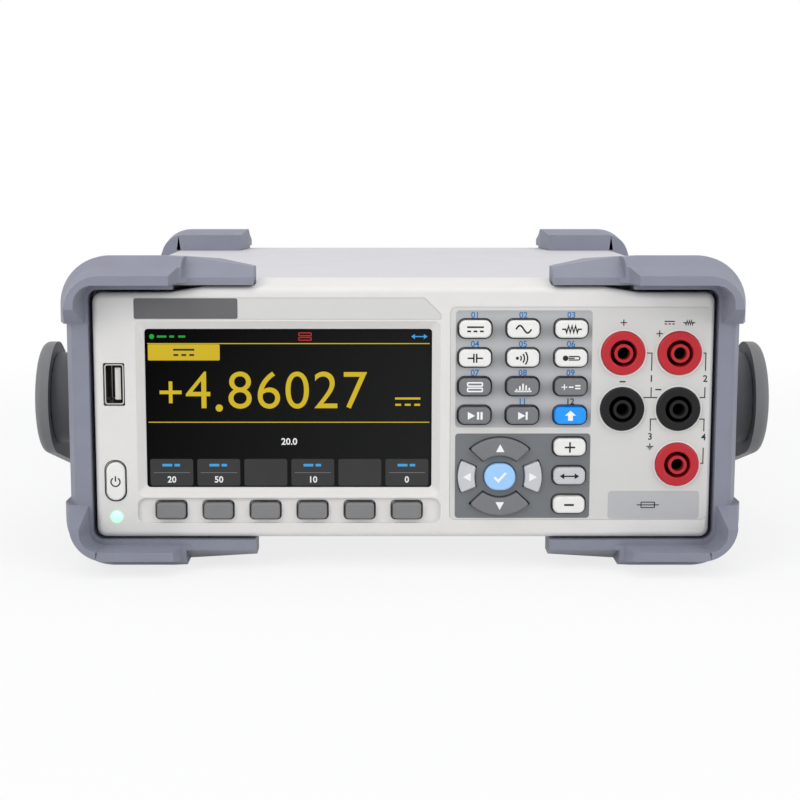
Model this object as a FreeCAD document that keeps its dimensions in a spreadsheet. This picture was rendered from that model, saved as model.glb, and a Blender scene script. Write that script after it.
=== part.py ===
"""Bench multimeter: a half-rack test instrument, 2U high, built as separate pieces.

The frame has +X to the right, +Y to the back and +Z up. Its origin is at the centre of the
footprint, on the surface that the rubber bumpers stand on. All sizes are in millimetres.
"""
import FreeCAD
import Part

import math
import os

from FreeCAD import Placement, Rotation, Vector
from Sketcher import Constraint

SIZES = {
    # enclosure
    "total_depth": 295.7, "case_w": 213.0, "case_h": 88.1, "sheet_t": 1.0, "bend_r": 3.0,
    "rim_reach": 13.0, "rear_reach": 12.7, "cover_start": 12.0, "fit_gap": 0.3, "panel_gap": 0.2,
    "vent_w": 3.0, "vent_len": 16.0, "vent_pitch": 7.0, "vent_rows_z": 26.0,
    "vent_inset": 50.0,
    # bumpers
    "foot_h": 9.55, "side_t": 10.0, "rim_wall": 3.3, "rim_side": 5.6, "rim_height": 3.85,
    "ridge_len": 2.0, "ridge_drop": 3.2, "ramp_len": 6.0, "flat_len": 4.0, "pad_fall": 2.2,
    "pad_len": 30.0, "pad_back": 8.0, "corner_r": 14.0, "pad_r": 16.5, "mouth_r": 6.5,
    "rim_end": 12.9, "rim_tip": 6.7, "flank_in": 1.7, "flank_run": 7.0, "flank_face": 4.2,
    "pad_reach": 41.0, "arm_reach": 66.0, "arm_end_h": 5.6, "arm_face_h": 2.6,
    "rear_pad_len": 26.0, "rear_reach_x": 44.0, "lip": 1.4, "lip_depth": 9.0,
    # front bezel
    "bezel_inset": 1.5, "bezel_top": 2.5, "bezel_low": 1.55, "bezel_t": 3.0, "bezel_depth": 11.7,
    "bezel_round": 2.2, "hump_inset": 40.5, "hump_slope": 13.0, "skirt_t": 2.0,
    "crown_inset": 57.2, "crown_rise": 1.85, "crown_run": 9.0, "crown_drop": 3.1,
    # display
    "display_x": 67.55, "display_z": 1.85, "display_w": 97.5, "display_h": 54.6,
    "display_bevel": 2.9, "window_t": 1.2, "window_lap": 2.0, "lcd_t": 3.0,
    "recess_round": 2.2, "display_round": 1.2, "tray_round": 2.6, "film_round": 1.7,
    "usb_round": 0.9, "jack_round": 0.6, "arm_round": 2.4,
    "strip_w": 103.2, "strip_h": 7.1, "strip_z": 36.2, "strip_cut": 5.6, "film_t": 0.35,
    # soft keys under the display
    "soft_w": 9.8, "soft_tall": 5.6, "soft_round": 1.3, "soft_pitch": 16.13, "soft_z": -33.1,
    "soft_tray_w": 103.7, "soft_tray_h": 8.7, "soft_tray_depth": 1.2,
    # function keys
    "key_w": 10.7, "key_tall": 5.8, "key_round": 2.1, "key_gap": 0.35, "key_proud": 1.9,
    "key_x": 66.1, "key_pitch_x": 16.2, "key_pitch_z": 9.8, "key_top_z": 29.4,
    "key_flange": 0.9, "key_travel": 1.2, "key_rest": 0.25, "step_z": -20.8, "step_pitch": 9.95,
    # direction pad
    "pad_x": 73.55, "pad_z": -21.1, "pad_rx": 14.3, "pad_rz": 13.4, "ok_rx": 5.3, "ok_rz": 4.6,
    # left column
    "column_x": 8.5, "power_w": 6.3, "power_tall": 13.1, "power_z": -22.8,
    "led_r": 2.0, "led_z": -35.3, "usb_z": 10.4, "usb_w": 6.5, "usb_tall": 13.8, "usb_depth": 14.0,
    "usb_wall": 0.4, "tongue_w": 1.9, "tongue_tall": 10.9,
    # label film around the keys and jacks
    "film_x": 46.6, "film_w": 87.8, "film_tall": 72.9, "film_z": 0.25,
    # terminals
    "jack_x": 13.2, "jack_z": 2.1, "jack_pitch": 19.05, "jack_r": 7.4, "jack_proud": 1.5,
    "jack_len": 30.0, "groove_outer": 4.4, "groove_inner": 3.15, "plug_hole_r": 2.15,
    "contact_r": 2.6, "contact_bore": 2.05, "contact_len": 20.0, "contact_set": 3.0,
    # handle
    "handle_w": 260.3, "hub_depth": 43.0, "hub_r": 20.5, "hub_base_r": 16.5, "spigot_r": 8.0,
    "pin_play": 0.05, "arm_t": 5.0, "arm_len": 125.0, "arm_end_r": 4.3, "grip_w": 20.0,
    "grip_t": 7.8, "grip_z": 5.0, "grip_lug": 13.0,
    # rear panel
    "rear_t": 1.5, "screw_r": 1.5, "screw_inset": 64.0,
    "inlet_x": 26.0, "inlet_z": -18.0, "inlet_w": 30.0, "inlet_h": 34.0,
    "inlet_deep": 22.0, "drawer_h": 7.0, "selector_w": 13.0, "selector_h": 8.0,
    "bnc_r": 4.8, "bnc_len": 11.0, "bnc_pitch": 24.0, "cap_r": 7.5, "cap_len": 9.0,
    "lan_w": 16.0, "lan_h": 13.5, "usbb_w": 12.0, "usbb_h": 11.0, "port_deep": 16.0,
    # inside
    "board_t": 1.6, "front_board_y": 8.3, "main_w": 186.0, "main_d": 205.0, "standoff": 6.0,
}

PARTS = "parts"
ALONG_Y = Rotation(Vector(1, 0, 0), -90)
ALONG_X = Rotation(Vector(0, 1, 0), 90)
UPRIGHT = Rotation(Vector(1, 0, 0), 90)

doc = FreeCAD.newDocument("bench_multimeter")
sheet = doc.addObject("Spreadsheet::Sheet", "Sizes")
for row, (alias, size) in enumerate(SIZES.items(), 1):
    sheet.set(f"A{row}", alias)
    sheet.set(f"B{row}", str(size))
    sheet.setAlias(f"B{row}", alias)
doc.recompute()

NODES = {}
KEY_SPOTS = []


def cell(text):
    """Turns names such as case_w in an expression into cells of the sheet."""
    out, word = "", ""
    for letter in str(text) + " ":
        if letter.isalnum() or letter in "_.":
            word += letter
            continue
        out += (f"Sizes.{word}" if word in SIZES else word) + letter
        word = ""
    return out.strip()


def number(text):
    """The value of an expression, in millimetres."""
    value = sheet.evalExpression(cell(text))
    return float(getattr(value, "Value", value))


# Places that many pieces share, as expressions.
FACE = "(rim_reach - total_depth / 2)"
BACK = "(total_depth / 2 - rear_reach)"
MID = "(foot_h + case_h / 2)"
TOP = "(foot_h + case_h)"
HALF_W = "(case_w / 2)"
LEFT_EDGE = "(0 - case_w / 2)"
DISPLAY_X = f"({LEFT_EDGE} + display_x)"
COLUMN_X = f"({LEFT_EDGE} + column_x)"
KEY_X = f"({HALF_W} - key_x)"
PAD_X = f"({HALF_W} - pad_x)"
FILM_X = f"({HALF_W} - film_x)"
JACK_X = f"({HALF_W} - jack_x)"
HUB_Y = f"({FACE} + hub_depth)"
BOARD_Z = "(foot_h + sheet_t + standoff)"


def bind(thing, **sizes):
    """Binds properties of an object to expressions."""
    for name, text in sizes.items():
        thing.setExpression(name, cell(text))
    return thing


def at(thing, x=0, y=0, z=0, turn=None):
    """Places an object, with its base bound to expressions."""
    thing.Placement = Placement(Vector(), turn or Rotation())
    for axis, text in zip("xyz", (x, y, z)):
        thing.setExpression(f"Placement.Base.{axis}", cell(text))
    return thing


def box(name, w, d, h, x, y, z):
    """A box whose centre is at x and z, and whose front face is at y."""
    thing = bind(doc.addObject("Part::Box", name), Length=w, Width=d, Height=h)
    return at(thing, f"{x} - ({w}) / 2", y, f"{z} - ({h}) / 2")


def rod(name, r, length, x, y, z, turn=ALONG_Y):
    """A cylinder that starts at a point and runs along +Y, or along +X."""
    return at(bind(doc.addObject("Part::Cylinder", name), Radius=r, Height=length), x, y, z, turn)


def draw_rounded(sketch, w, h, r):
    """Draws a rounded rectangle about the sketch's origin, held by its width, height and radius."""
    dx, dy, rr = number(w) / 2 - number(r), number(h) / 2 - number(r), number(r)
    centres = [Vector(dx, dy), Vector(-dx, dy), Vector(-dx, -dy), Vector(dx, -dy)]
    quarter = math.pi / 2
    arcs = [Part.ArcOfCircle(Part.Circle(c, Vector(0, 0, 1), rr), i * quarter, (i + 1) * quarter)
            for i, c in enumerate(centres)]
    lines = [Part.LineSegment(arcs[i].EndPoint, arcs[(i + 1) % 4].StartPoint) for i in range(4)]
    sketch.addGeometry(arcs + lines, False)
    rules = []
    for i in range(4):
        rules.append(Constraint("Tangent", i, 2, 4 + i, 1))
        rules.append(Constraint("Tangent", 4 + i, 2, (i + 1) % 4, 1))
        rules.append(Constraint("Horizontal" if i % 2 == 0 else "Vertical", 4 + i))
    rules += [Constraint("Equal", 0, i) for i in (1, 2, 3)]
    sketch.addConstraint(rules)
    for name, rule, text in (
            ("radius", Constraint("Radius", 0, rr), r),
            ("right", Constraint("DistanceX", -1, 1, 0, 3, dx), f"({w}) / 2 - ({r})"),
            ("top", Constraint("DistanceY", -1, 1, 0, 3, dy), f"({h}) / 2 - ({r})"),
            ("left", Constraint("DistanceX", 2, 3, -1, 1, dx), f"({w}) / 2 - ({r})"),
            ("bottom", Constraint("DistanceY", 2, 3, -1, 1, dy), f"({h}) / 2 - ({r})")):
        index = sketch.addConstraint(rule)
        sketch.renameConstraint(index, name)
        sketch.setExpression(f"Constraints.{name}", cell(text))


def outline(name, w, h, r, x, y, z):
    """A rounded rectangle as a sketch that stands across Y."""
    sketch = doc.addObject("Sketcher::SketchObject", name)
    draw_rounded(sketch, w, h, r)
    return at(sketch, x, y, z, UPRIGHT)


def prism(name, w, h, r, length, x, y, z):
    """A rounded rectangle carried along +Y from y."""
    thing = doc.addObject("Part::Extrusion", name)
    thing.Base = outline(name + "_outline", w, h, r, x, y, z)
    thing.DirMode = "Custom"
    thing.Dir = Vector(0, 1, 0)
    thing.Solid = True
    return bind(thing, LengthFwd=length)


def join(name, things):
    """Several objects as one; pieces that don't touch stay separate solids."""
    if len(things) == 1:
        return things[0]
    thing = doc.addObject("Part::MultiFuse", name)
    thing.Shapes = list(things)
    return thing


def cut(name, base, tools):
    """An object with others taken out of it."""
    thing = doc.addObject("Part::Cut", name)
    thing.Base, thing.Tool = base, join(name + "_tools", tools)
    return thing


def group(name, things):
    """Separate solids kept side by side in one sub-part."""
    thing = doc.addObject("Part::Compound", name)
    thing.Links = list(things)
    return thing


def node(label, thing):
    """Names a finished sub-part."""
    thing.Label = label
    NODES[label] = thing
    return thing


def edge_names(shape, test):
    """Names of the edges whose box passes a test."""
    return [f"Edge{i}" for i, e in enumerate(shape.Edges, 1) if test(e)]


def lies_at_y(edge, y):
    """Whether an edge lies wholly in the plane at y."""
    return abs(edge.BoundBox.YMin - y) < 1e-4 and abs(edge.BoundBox.YMax - y) < 1e-4


def set_shape(label, shape):
    """A sub-part whose shape is made with Part's own functions."""
    thing = doc.addObject("Part::Feature", label)
    thing.Shape = shape
    return node(label, thing)


def rounded(thing, radius, test):
    """Rounds the edges that pass a test."""
    doc.recompute()
    r = number(radius)
    fillet = doc.addObject("Part::Fillet", thing.Name + "_rounded")
    fillet.Base = thing
    fillet.Edges = [(int(n[4:]), r, r) for n in edge_names(thing.Shape, test)]
    return fillet


# ---- keys -------------------------------------------------------------------------------


def key_body(label, w, h, r, proud, x, z, back="bezel_t + fit_gap"):
    """One key as a body: a cap that stands proud of the bezel, and a flange that keeps it in."""
    body = doc.addObject("PartDesign::Body", label)
    across = next(f for f in body.Origin.OriginFeatures if f.Role == "XZ_Plane")
    for step, (grow, length) in enumerate((("0", f"({proud}) + {back}"), ("key_flange * 2", "1"))):
        sketch = body.newObject("Sketcher::SketchObject", f"{label}_outline{step}")
        sketch.AttachmentSupport = [(across, "")]
        sketch.MapMode = "FlatFace"
        draw_rounded(sketch, f"{w} + {grow}", f"{h} + {grow}", r)
        if step:
            sketch.setExpression("AttachmentOffset.Base.z", cell(f"0 - ({proud}) - ({back})"))
        pad = body.newObject("PartDesign::Pad", f"{label}_pad{step}")
        pad.Profile = sketch
        pad.Reversed = True
        bind(pad, Length=length)
        doc.recompute()
    edge = body.newObject("PartDesign::Fillet", f"{label}_edge")
    edge.Base = (pad, edge_names(pad.Shape, lambda e: lies_at_y(e, 0)))
    edge.Radius = 0.7
    body.Tip = edge
    KEY_SPOTS.append((x, z))
    return node(label, at(body, x, f"{FACE} - ({proud})", z))


def key_hole(name, w, h, r, x, z):
    """The opening that a key passes through."""
    return prism(name, f"{w} + key_gap * 2", f"{h} + key_gap * 2", f"{r} + key_gap",
                 "bezel_t + 4", x, f"{FACE} - 2", z)


def ring_sector(start, end, inner, outer, middle, depth):
    """A key shaped as a piece of an oval ring, between two angles, as a solid from y 0."""
    (irx, irz), (orx, orz) = inner, outer
    turn = [math.radians(a) for a in (start, end)]
    half = (turn[0] + turn[1]) / 2

    def spot(rx, rz, angle, pull=1.0):
        return Vector(rx * math.cos(angle) * pull, 0, rz * math.sin(angle) * pull)

    a, b = spot(orx, orz, turn[0]), spot(orx, orz, turn[1])
    c, d = spot(irx, irz, turn[1]), spot(irx, irz, turn[0])
    wire = Part.Wire([Part.Arc(a, spot(orx, orz, half), b).toShape(),
                      Part.LineSegment(b, c).toShape(),
                      Part.Arc(c, spot(irx, irz, half, middle), d).toShape(),
                      Part.LineSegment(d, a).toShape()])
    solid = Part.Face(wire).extrude(Vector(0, depth, 0))
    return solid


def arrow_keys(face_y):
    """Four arrow keys round the OK key, and the holes that they pass through."""
    proud, gap = number("key_proud"), number("key_gap")
    depth = proud + number("bezel_t + fit_gap")
    centre = Vector(number(PAD_X), face_y, number(f"{MID} + pad_z"))
    outer = (number("pad_rx"), number("pad_rz"))
    wells = []
    for label, start, end, inner in (
            ("key_right", -24, 24, 0.62), ("key_up", 45, 135, 0.56),
            ("key_left", 156, 204, 0.62), ("key_down", 225, 315, 0.56)):
        inside = (outer[0] * inner, outer[1] * inner)
        cap = ring_sector(start, end, inside, outer, 0.97, depth)
        upright = [e for e in cap.Edges if abs(e.BoundBox.YLength - depth) < 1e-4]
        cap = cap.makeFillet(0.8, upright)
        front = [e for e in cap.Edges if lies_at_y(e, 0)]
        cap = cap.makeFillet(0.6, front)
        middle = math.radians((start + end) / 2)
        lift = Vector(math.cos(middle) * outer[0] * 0.78, 0, math.sin(middle) * outer[1] * 0.78)
        wide = label in ("key_up", "key_down")
        size = (13.0, 7.4) if wide else (7.4, 9.4)
        flange = Part.makeBox(size[0], 1, size[1], lift + Vector(-size[0] / 2, depth, -size[1] / 2))
        cap = cap.fuse(flange).removeSplitter()
        KEY_SPOTS.append((f"({PAD_X} + pad_rx * 0.78 * {round(math.cos(middle), 3)})",
                          f"({MID} + pad_z + pad_rz * 0.78 * {round(math.sin(middle), 3)})"))
        piece = set_shape(label, cap)
        piece.Placement = Placement(centre - Vector(0, proud, 0), Rotation())
        well = ring_sector(start, end, inside, outer, 0.97, number("bezel_t") + 4)
        grown = well.makeOffsetShape(gap, 1e-3, join=2)
        grown.translate(centre - Vector(0, 2, 0))
        wells.append(grown)
    holes = doc.addObject("Part::Feature", "arrow_holes")
    holes.Shape = Part.makeCompound(wells)
    return holes


def keys():
    """All the keys; returns the holes that the bezel needs for them."""
    holes = []
    for i in range(6):
        x = f"({DISPLAY_X} + soft_pitch * {i - 2.5})"
        z = f"({MID} + soft_z)"
        key_body(f"soft_key_{i + 1}", "soft_w", "soft_tall", "soft_round", "0.9", x, z)
        holes.append(key_hole(f"soft_hole_{i + 1}", "soft_w", "soft_tall", "soft_round", x, z))
    for row in range(4):
        for col in range(3):
            x = f"({KEY_X} + key_pitch_x * {col - 1})"
            z = f"({MID} + key_top_z - key_pitch_z * {row})"
            label = f"function_key_{row * 3 + col + 1:02d}"
            key_body(label, "key_w", "key_tall", "key_round", "key_proud", x, z)
            holes.append(key_hole(label + "_hole", "key_w", "key_tall", "key_round", x, z))
    for label, step in (("key_plus", 1), ("key_range", 0), ("key_minus", -1)):
        x = f"({KEY_X} + key_pitch_x)"
        z = f"({MID} + step_z + step_pitch * {step})"
        key_body(label, "key_w", "key_tall", "key_round", "key_proud", x, z)
        holes.append(key_hole(label + "_hole", "key_w", "key_tall", "key_round", x, z))
    z = f"({MID} + pad_z)"
    key_body("key_ok", "ok_rx * 2", "ok_rz * 2", "ok_rz - 0.1", "key_proud + 0.3", PAD_X, z)
    holes.append(key_hole("ok_hole", "ok_rx * 2", "ok_rz * 2", "ok_rz - 0.1", PAD_X, z))
    z = f"({MID} + power_z)"
    key_body("power_button", "power_w", "power_tall", "power_w / 2 - 0.05", "1.1", COLUMN_X, z)
    holes.append(key_hole("power_hole", "power_w", "power_tall", "power_w / 2 - 0.05", COLUMN_X, z))
    holes.append(arrow_keys(number(FACE)))
    return holes


# ---- front ------------------------------------------------------------------------------


def jack_spots():
    """Names and centres of the five terminals."""
    left = f"({JACK_X} - jack_pitch)"
    high, low = f"({MID} + jack_z + jack_pitch)", f"({MID} + jack_z - jack_pitch)"
    middle = f"({MID} + jack_z)"
    return (("jack_sense_high", left, high), ("jack_sense_low", left, middle),
            ("jack_input_high", JACK_X, high), ("jack_input_low", JACK_X, middle),
            ("jack_current", JACK_X, low))


def bezel_block():
    """The bezel's outer block: a face with a raised middle along its top edge."""
    half, low = number(f"{HALF_W} - bezel_inset"), number("foot_h + bezel_low")
    high, peak = number(f"{TOP} - bezel_top"), number(f"{TOP} - 0.3")
    crown, rise = number(f"{HALF_W} - crown_inset"), number(f"{TOP} + crown_rise")
    knee = half - number("hump_inset - bezel_inset - hump_slope")
    crest = knee - number("hump_slope")
    face, depth = number(FACE), number("bezel_depth")
    side = [(half, low), (half, high), (knee, high), (crest, peak), (crown + 0.8, peak),
            (crown, rise)]
    spots = side + [(-x, z) for x, z in reversed(side)]
    wire = Part.makePolygon([Vector(x, face, z) for x, z in spots + spots[:1]])
    solid = Part.Face(wire).extrude(Vector(0, depth, 0))
    corners = [e for e in solid.Edges if abs(e.BoundBox.YLength - depth) < 1e-4
               and abs(abs(e.BoundBox.Center.x) - half) < 1e-3]
    solid = solid.makeFillet(3.2, corners)
    run, brow = number("crown_run"), rise - number("crown_drop")
    solid = solid.cut(yz_prism([(face - 1, brow), (face, brow), (face + run, rise),
                                (face + run, rise + 1), (face - 1, rise + 1)], -half, half))
    edge = [e for e in solid.Edges if lies_at_y(e, face)]
    solid = solid.makeFillet(number("bezel_round"), edge)
    block = doc.addObject("Part::Feature", "bezel_block")
    block.Shape = solid
    return block


def strip_block(name, grow, length, y):
    """The strip over the display, with its upper right corner cut off at a slant."""
    blank = box(name + "_blank", f"strip_w + {grow}", length, f"strip_h + {grow}", DISPLAY_X, y,
                f"({MID} + strip_z)")
    doc.recompute()
    limits = blank.Shape.BoundBox
    bevel = doc.addObject("Part::Chamfer", name)
    bevel.Base = blank
    cut_back = number("strip_cut")
    bevel.Edges = [(int(e[4:]), cut_back, cut_back) for e in edge_names(
        blank.Shape, lambda e: abs(e.BoundBox.XMin - limits.XMax) < 1e-4
        and abs(e.BoundBox.ZMin - limits.ZMax) < 1e-4)]
    return bevel


def front_bezel(holes):
    """The moulded bezel: a thin face with a skirt, and openings for all that shows through it."""
    tools = list(holes)
    inner = "case_w - (bezel_inset + skirt_t) * 2"
    tools.append(box("bezel_hollow", inner, "bezel_depth",
                     "case_h - bezel_top - bezel_low - skirt_t * 2", "0", f"{FACE} + bezel_t",
                     f"({MID} + (bezel_low - bezel_top) / 2)"))
    z = f"({MID} + display_z)"
    loft = doc.addObject("Part::Loft", "display_bevel")
    loft.Sections = [
        outline("display_front", "display_w + display_bevel * 2 + 0.4",
                "display_h + display_bevel * 2 + 0.4", "recess_round", DISPLAY_X, f"{FACE} - 0.2", z),
        outline("display_rear", "display_w", "display_h", "display_round", DISPLAY_X,
                f"{FACE} + bezel_t - 0.8", z)]
    loft.Solid = True
    loft.Ruled = True
    tools.append(loft)
    tools.append(prism("display_hole", "display_w", "display_h", "display_round", "bezel_t + 2",
                       DISPLAY_X, f"{FACE} - 0.5", z))
    tools.append(prism("soft_tray", "soft_tray_w", "soft_tray_h", "tray_round", "2 + soft_tray_depth",
                       DISPLAY_X, f"{FACE} - 2", f"({MID} + soft_z)"))
    tools.append(strip_block("strip_recess", "0.2", "2 + film_t", f"{FACE} - 2"))
    tools.append(prism("film_recess", "film_w + 0.2", "film_tall + 0.2", "film_round + 0.1", "2 + film_t",
                       FILM_X, f"{FACE} - 2", f"({MID} + film_z)"))
    for label, x, z in jack_spots():
        tools.append(rod(label + "_hole", "jack_r + 0.2", "bezel_t + 4", x, f"{FACE} - 2", z))
    tools.append(rod("led_hole", "led_r + 0.1", "bezel_t + 4", COLUMN_X, f"{FACE} - 2",
                     f"({MID} + led_z)"))
    tools.append(prism("usb_hole", "usb_w + 0.9", "usb_tall + 0.9", "usb_round - 0.3", "bezel_t + 4",
                       COLUMN_X, f"{FACE} - 2", f"({MID} + usb_z)"))
    node("front_bezel", cut("front_bezel", bezel_block(), tools))


def label_films(holes):
    """Two thin printed films: one round the keys and jacks, and the strip over the display."""
    tools = [h for h in holes if not h.Name.startswith(("soft", "power"))]
    tools += [rod(label + "_film_hole", "jack_r + 0.35", "4", x, f"{FACE} - 2", z)
              for label, x, z in jack_spots()]
    film = prism("control_film", "film_w", "film_tall", "film_round", "film_t", FILM_X, FACE,
                 f"({MID} + film_z)")
    film = cut("control_film_cut", film, tools)
    strip = strip_block("name_strip", "0", "film_t", FACE)
    node("label_films", group("label_films", [film, strip]))


def display():
    """The clear window behind the bezel's opening, and the liquid crystal module behind it."""
    z = f"({MID} + display_z)"
    lap = "window_lap * 2"
    node("display_window", prism("window", f"display_w + {lap}", f"display_h + {lap}",
                                 "display_round + 0.3", "window_t", DISPLAY_X,
                                 f"{FACE} + bezel_t + 0.05", z))
    behind = f"({FACE} + bezel_t + 0.05 + window_t + 0.1)"
    panel = box("lcd_panel", "display_w + 6", "lcd_t", "display_h + 7", DISPLAY_X, behind, z)
    tail = box("lcd_tail", "11", "0.3", "4", DISPLAY_X, f"{behind} + lcd_t - 0.3",
               f"({z} - display_h / 2 - 5.4)")
    node("lcd_module", join("lcd_module", [panel, tail]))


def usb_port():
    """The USB host socket: a steel shell and the tongue inside it."""
    z, y = f"({MID} + usb_z)", f"({FACE} + 0.8)"
    shell = prism("usb_outer", "usb_w", "usb_tall", "usb_round", "usb_depth", COLUMN_X, y, z)
    well = prism("usb_inner", "usb_w - usb_wall * 2", "usb_tall - usb_wall * 2", "usb_round - 0.3",
                 "usb_depth - 1", COLUMN_X, y, z)
    tongue = box("usb_tongue", "tongue_w", "usb_depth - 2.3", "tongue_tall",
                 f"({COLUMN_X} + usb_w / 2 - usb_wall - tongue_w / 2 - 0.9)", f"({y} + 1.8)", z)
    node("usb_host_port", join("usb_host_port", [cut("usb_shell", shell, [well]), tongue]))


def power_led():
    """A small round light pipe with a domed tip."""
    rear = rod("led_pipe", "led_r", "bezel_t + 2", COLUMN_X, FACE, f"({MID} + led_z)")
    tip = at(bind(doc.addObject("Part::Sphere", "led_tip"), Radius="led_r * 1.25"),
             COLUMN_X, f"{FACE} + led_r * 0.75", f"({MID} + led_z)")
    core = rod("led_core", "led_r", "bezel_t + 4", COLUMN_X, f"{FACE} - 1.5", f"({MID} + led_z)")
    dome = doc.addObject("Part::MultiCommon", "led_dome")
    dome.Shapes = [tip, core]
    node("power_led", join("power_led", [rear, dome]))


def terminals():
    """Five shrouded 4 mm terminals: an insulating body each, and the spring contacts in them."""
    contacts = []
    for label, x, z in jack_spots():
        y = f"({FACE} - jack_proud)"
        body = rod(label + "_body", "jack_r", "jack_len", x, y, z)
        collar = rod(label + "_collar", "jack_r + 1.2", "2", x, f"{FACE} + bezel_t + 0.05", z)
        groove = cut(label + "_groove",
                     rod(label + "_groove_outer", "groove_outer", "jack_len - 8", x, y, z),
                     [rod(label + "_groove_inner", "groove_inner", "jack_len", x, f"{y} - 1", z)])
        mouth = rod(label + "_mouth", "plug_hole_r", "contact_set + 1", x, y, z)
        seat = rod(label + "_seat", "contact_r", "contact_len + 0.2", x, f"{y} + contact_set", z)
        tail_hole = rod(label + "_tail_hole", "1.3", "jack_len", x, f"{y} + contact_set", z)
        piece = cut(label, join(label + "_blank", [body, collar]),
                    [groove, mouth, seat, tail_hole])
        piece = rounded(piece, "jack_round", lambda e, x=x, z=z: lies_at_y(
            e, number(FACE) - number("jack_proud")) and e.BoundBox.XLength > number("jack_r"))
        node(label, piece)
        sleeve = rod(label + "_sleeve", "contact_r", "contact_len", x, f"{y} + contact_set", z)
        bore = rod(label + "_bore", "contact_bore", "contact_len - 1.5", x,
                   f"{y} + contact_set", z)
        tail = rod(label + "_tail", "1.2", "8 + jack_len - contact_set - contact_len", x,
                   f"{y} + contact_set + contact_len", z)
        contacts.append(join(label + "_contact",
                             [cut(label + "_socket", sleeve, [bore]), tail]))
    node("jack_contacts", group("jack_contacts", contacts))


# ---- enclosure --------------------------------------------------------------------------


def sleeve_profile(name, w, h, length, y):
    """A folded sheet channel's block, with bent corners along Y."""
    return prism(name, w, h, "bend_r", length, "0", y, MID)


def top_cover():
    """The folded top cover: an inverted channel with cooling slots in both sides."""
    y = f"({FACE} + cover_start)"
    length = f"({BACK} - {y})"
    outer = sleeve_profile("cover_outer", "case_w", "case_h", length, y)
    inner = sleeve_profile("cover_inner", "case_w - sheet_t * 2", "case_h - sheet_t * 2",
                           f"{length} + 2", f"{y} - 1")
    below = box("cover_below", "case_w - sheet_t * 2 - 4", f"{length} + 2", "sheet_t * 4", "0",
                f"{y} - 1", "foot_h")
    tools = [inner, below]
    count = 12
    for i in range(count * 2):
        tools.append(box(f"vent_{i}", "case_w + 4", "vent_w", "vent_len", "0",
                         f"({BACK} - vent_inset - vent_pitch * {i // 2})",
                         f"({MID} + vent_rows_z * {0.5 - i % 2})"))
    for side in (-1, 1):
        tools.append(rod(f"hub_screw_hole_{side + 1}", "2.1", "6", f"{HALF_W} * {side} - 3",
                         HUB_Y, MID, ALONG_X))
    node("top_cover", cut("top_cover", outer, tools))


def chassis_tray():
    """The folded bottom tray with side flanges that stand inside the cover."""
    y = f"({FACE} + bezel_depth + 0.6)"
    length = f"({BACK} - rear_t - 0.1 - {y})"
    gap = "(sheet_t + 0.15)"
    width = f"(case_w - {gap} * 2)"
    floor_ = box("tray_floor", f"{width} - 5.2", length, "sheet_t", "0", y,
                 "foot_h + sheet_t / 2 + 0.02")
    pieces = [floor_]
    for side in (-1, 1):
        pieces.append(box(f"tray_flange_{side + 1}", "sheet_t", length, "24",
                          f"({width} - sheet_t) / 2 * {side}", y, f"(foot_h + {gap} + 14.5)"))
        pieces.append(box(f"tray_bend_{side + 1}", "2 + sheet_t", length, "sheet_t",
                          f"({width} / 2 - 1.6 - sheet_t / 2) * {side}", y,
                          f"(foot_h + {gap} + 2.45 + sheet_t / 2)"))
        pieces.append(box(f"tray_web_{side + 1}", "sheet_t", length, f"2.5 + {gap} + sheet_t",
                          f"({width} / 2 - 3.2 - sheet_t / 2) * {side}", y,
                          f"(foot_h + 0.02 + ({gap} + 2.5 + sheet_t) / 2)"))
    for i, (sx, sy) in enumerate(((-1, 0.12), (1, 0.12), (-1, 0.86), (1, 0.86))):
        pieces.append(at(bind(doc.addObject("Part::Cylinder", f"standoff_{i}"), Radius="3",
                              Height="standoff"), f"main_w / 2 * {0.94 * sx}",
                         f"({FACE} + 44 + main_d * {sy})", "foot_h + sheet_t"))
    node("chassis_tray", join("chassis_tray", pieces))


def bumper_section(y, half_w, low, high, r):
    """A rounded rectangle across Y, as a wire."""
    face = Part.Face(Part.makePolygon([Vector(x, y, z) for x, z in (
        (-half_w, low), (half_w, low), (half_w, high), (-half_w, high), (-half_w, low))]))
    solid = face.extrude(Vector(0, 1, 0))
    solid = solid.makeFillet(r, [e for e in solid.Edges if abs(e.BoundBox.YLength - 1) < 1e-4])
    return next(f for f in solid.Faces if lies_at_y(f, y)).OuterWire


def frustum(sections):
    """A solid through wires of the same kind, straight between them."""
    return Part.makeLoft(sections, True, True)


def yz_prism(spots, x0, x1):
    """A polygon in the YZ plane carried along X."""
    wire = Part.makePolygon([Vector(x0, y, z) for y, z in spots + spots[:1]])
    return Part.Face(wire).extrude(Vector(x1 - x0, 0, 0))


def xy_prism(spots, z0, z1):
    """A polygon in the XY plane carried along Z."""
    wire = Part.makePolygon([Vector(x, y, z0) for x, y in spots + spots[:1]])
    return Part.Face(wire).extrude(Vector(0, 0, z1 - z0))


def case_space(grow):
    """The space that the case takes inside a bumper, a little larger than the case."""
    half, low, high = (number(t) for t in (f"{HALF_W} + {grow}", f"foot_h - {grow}",
                                           f"{TOP} + {grow}"))
    depth = number("total_depth")
    block = Part.makeBox(half * 2, depth * 2, high - low, Vector(-half, -depth, low))
    return block.makeFillet(3.1, [e for e in block.Edges if e.BoundBox.YLength > depth])


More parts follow.
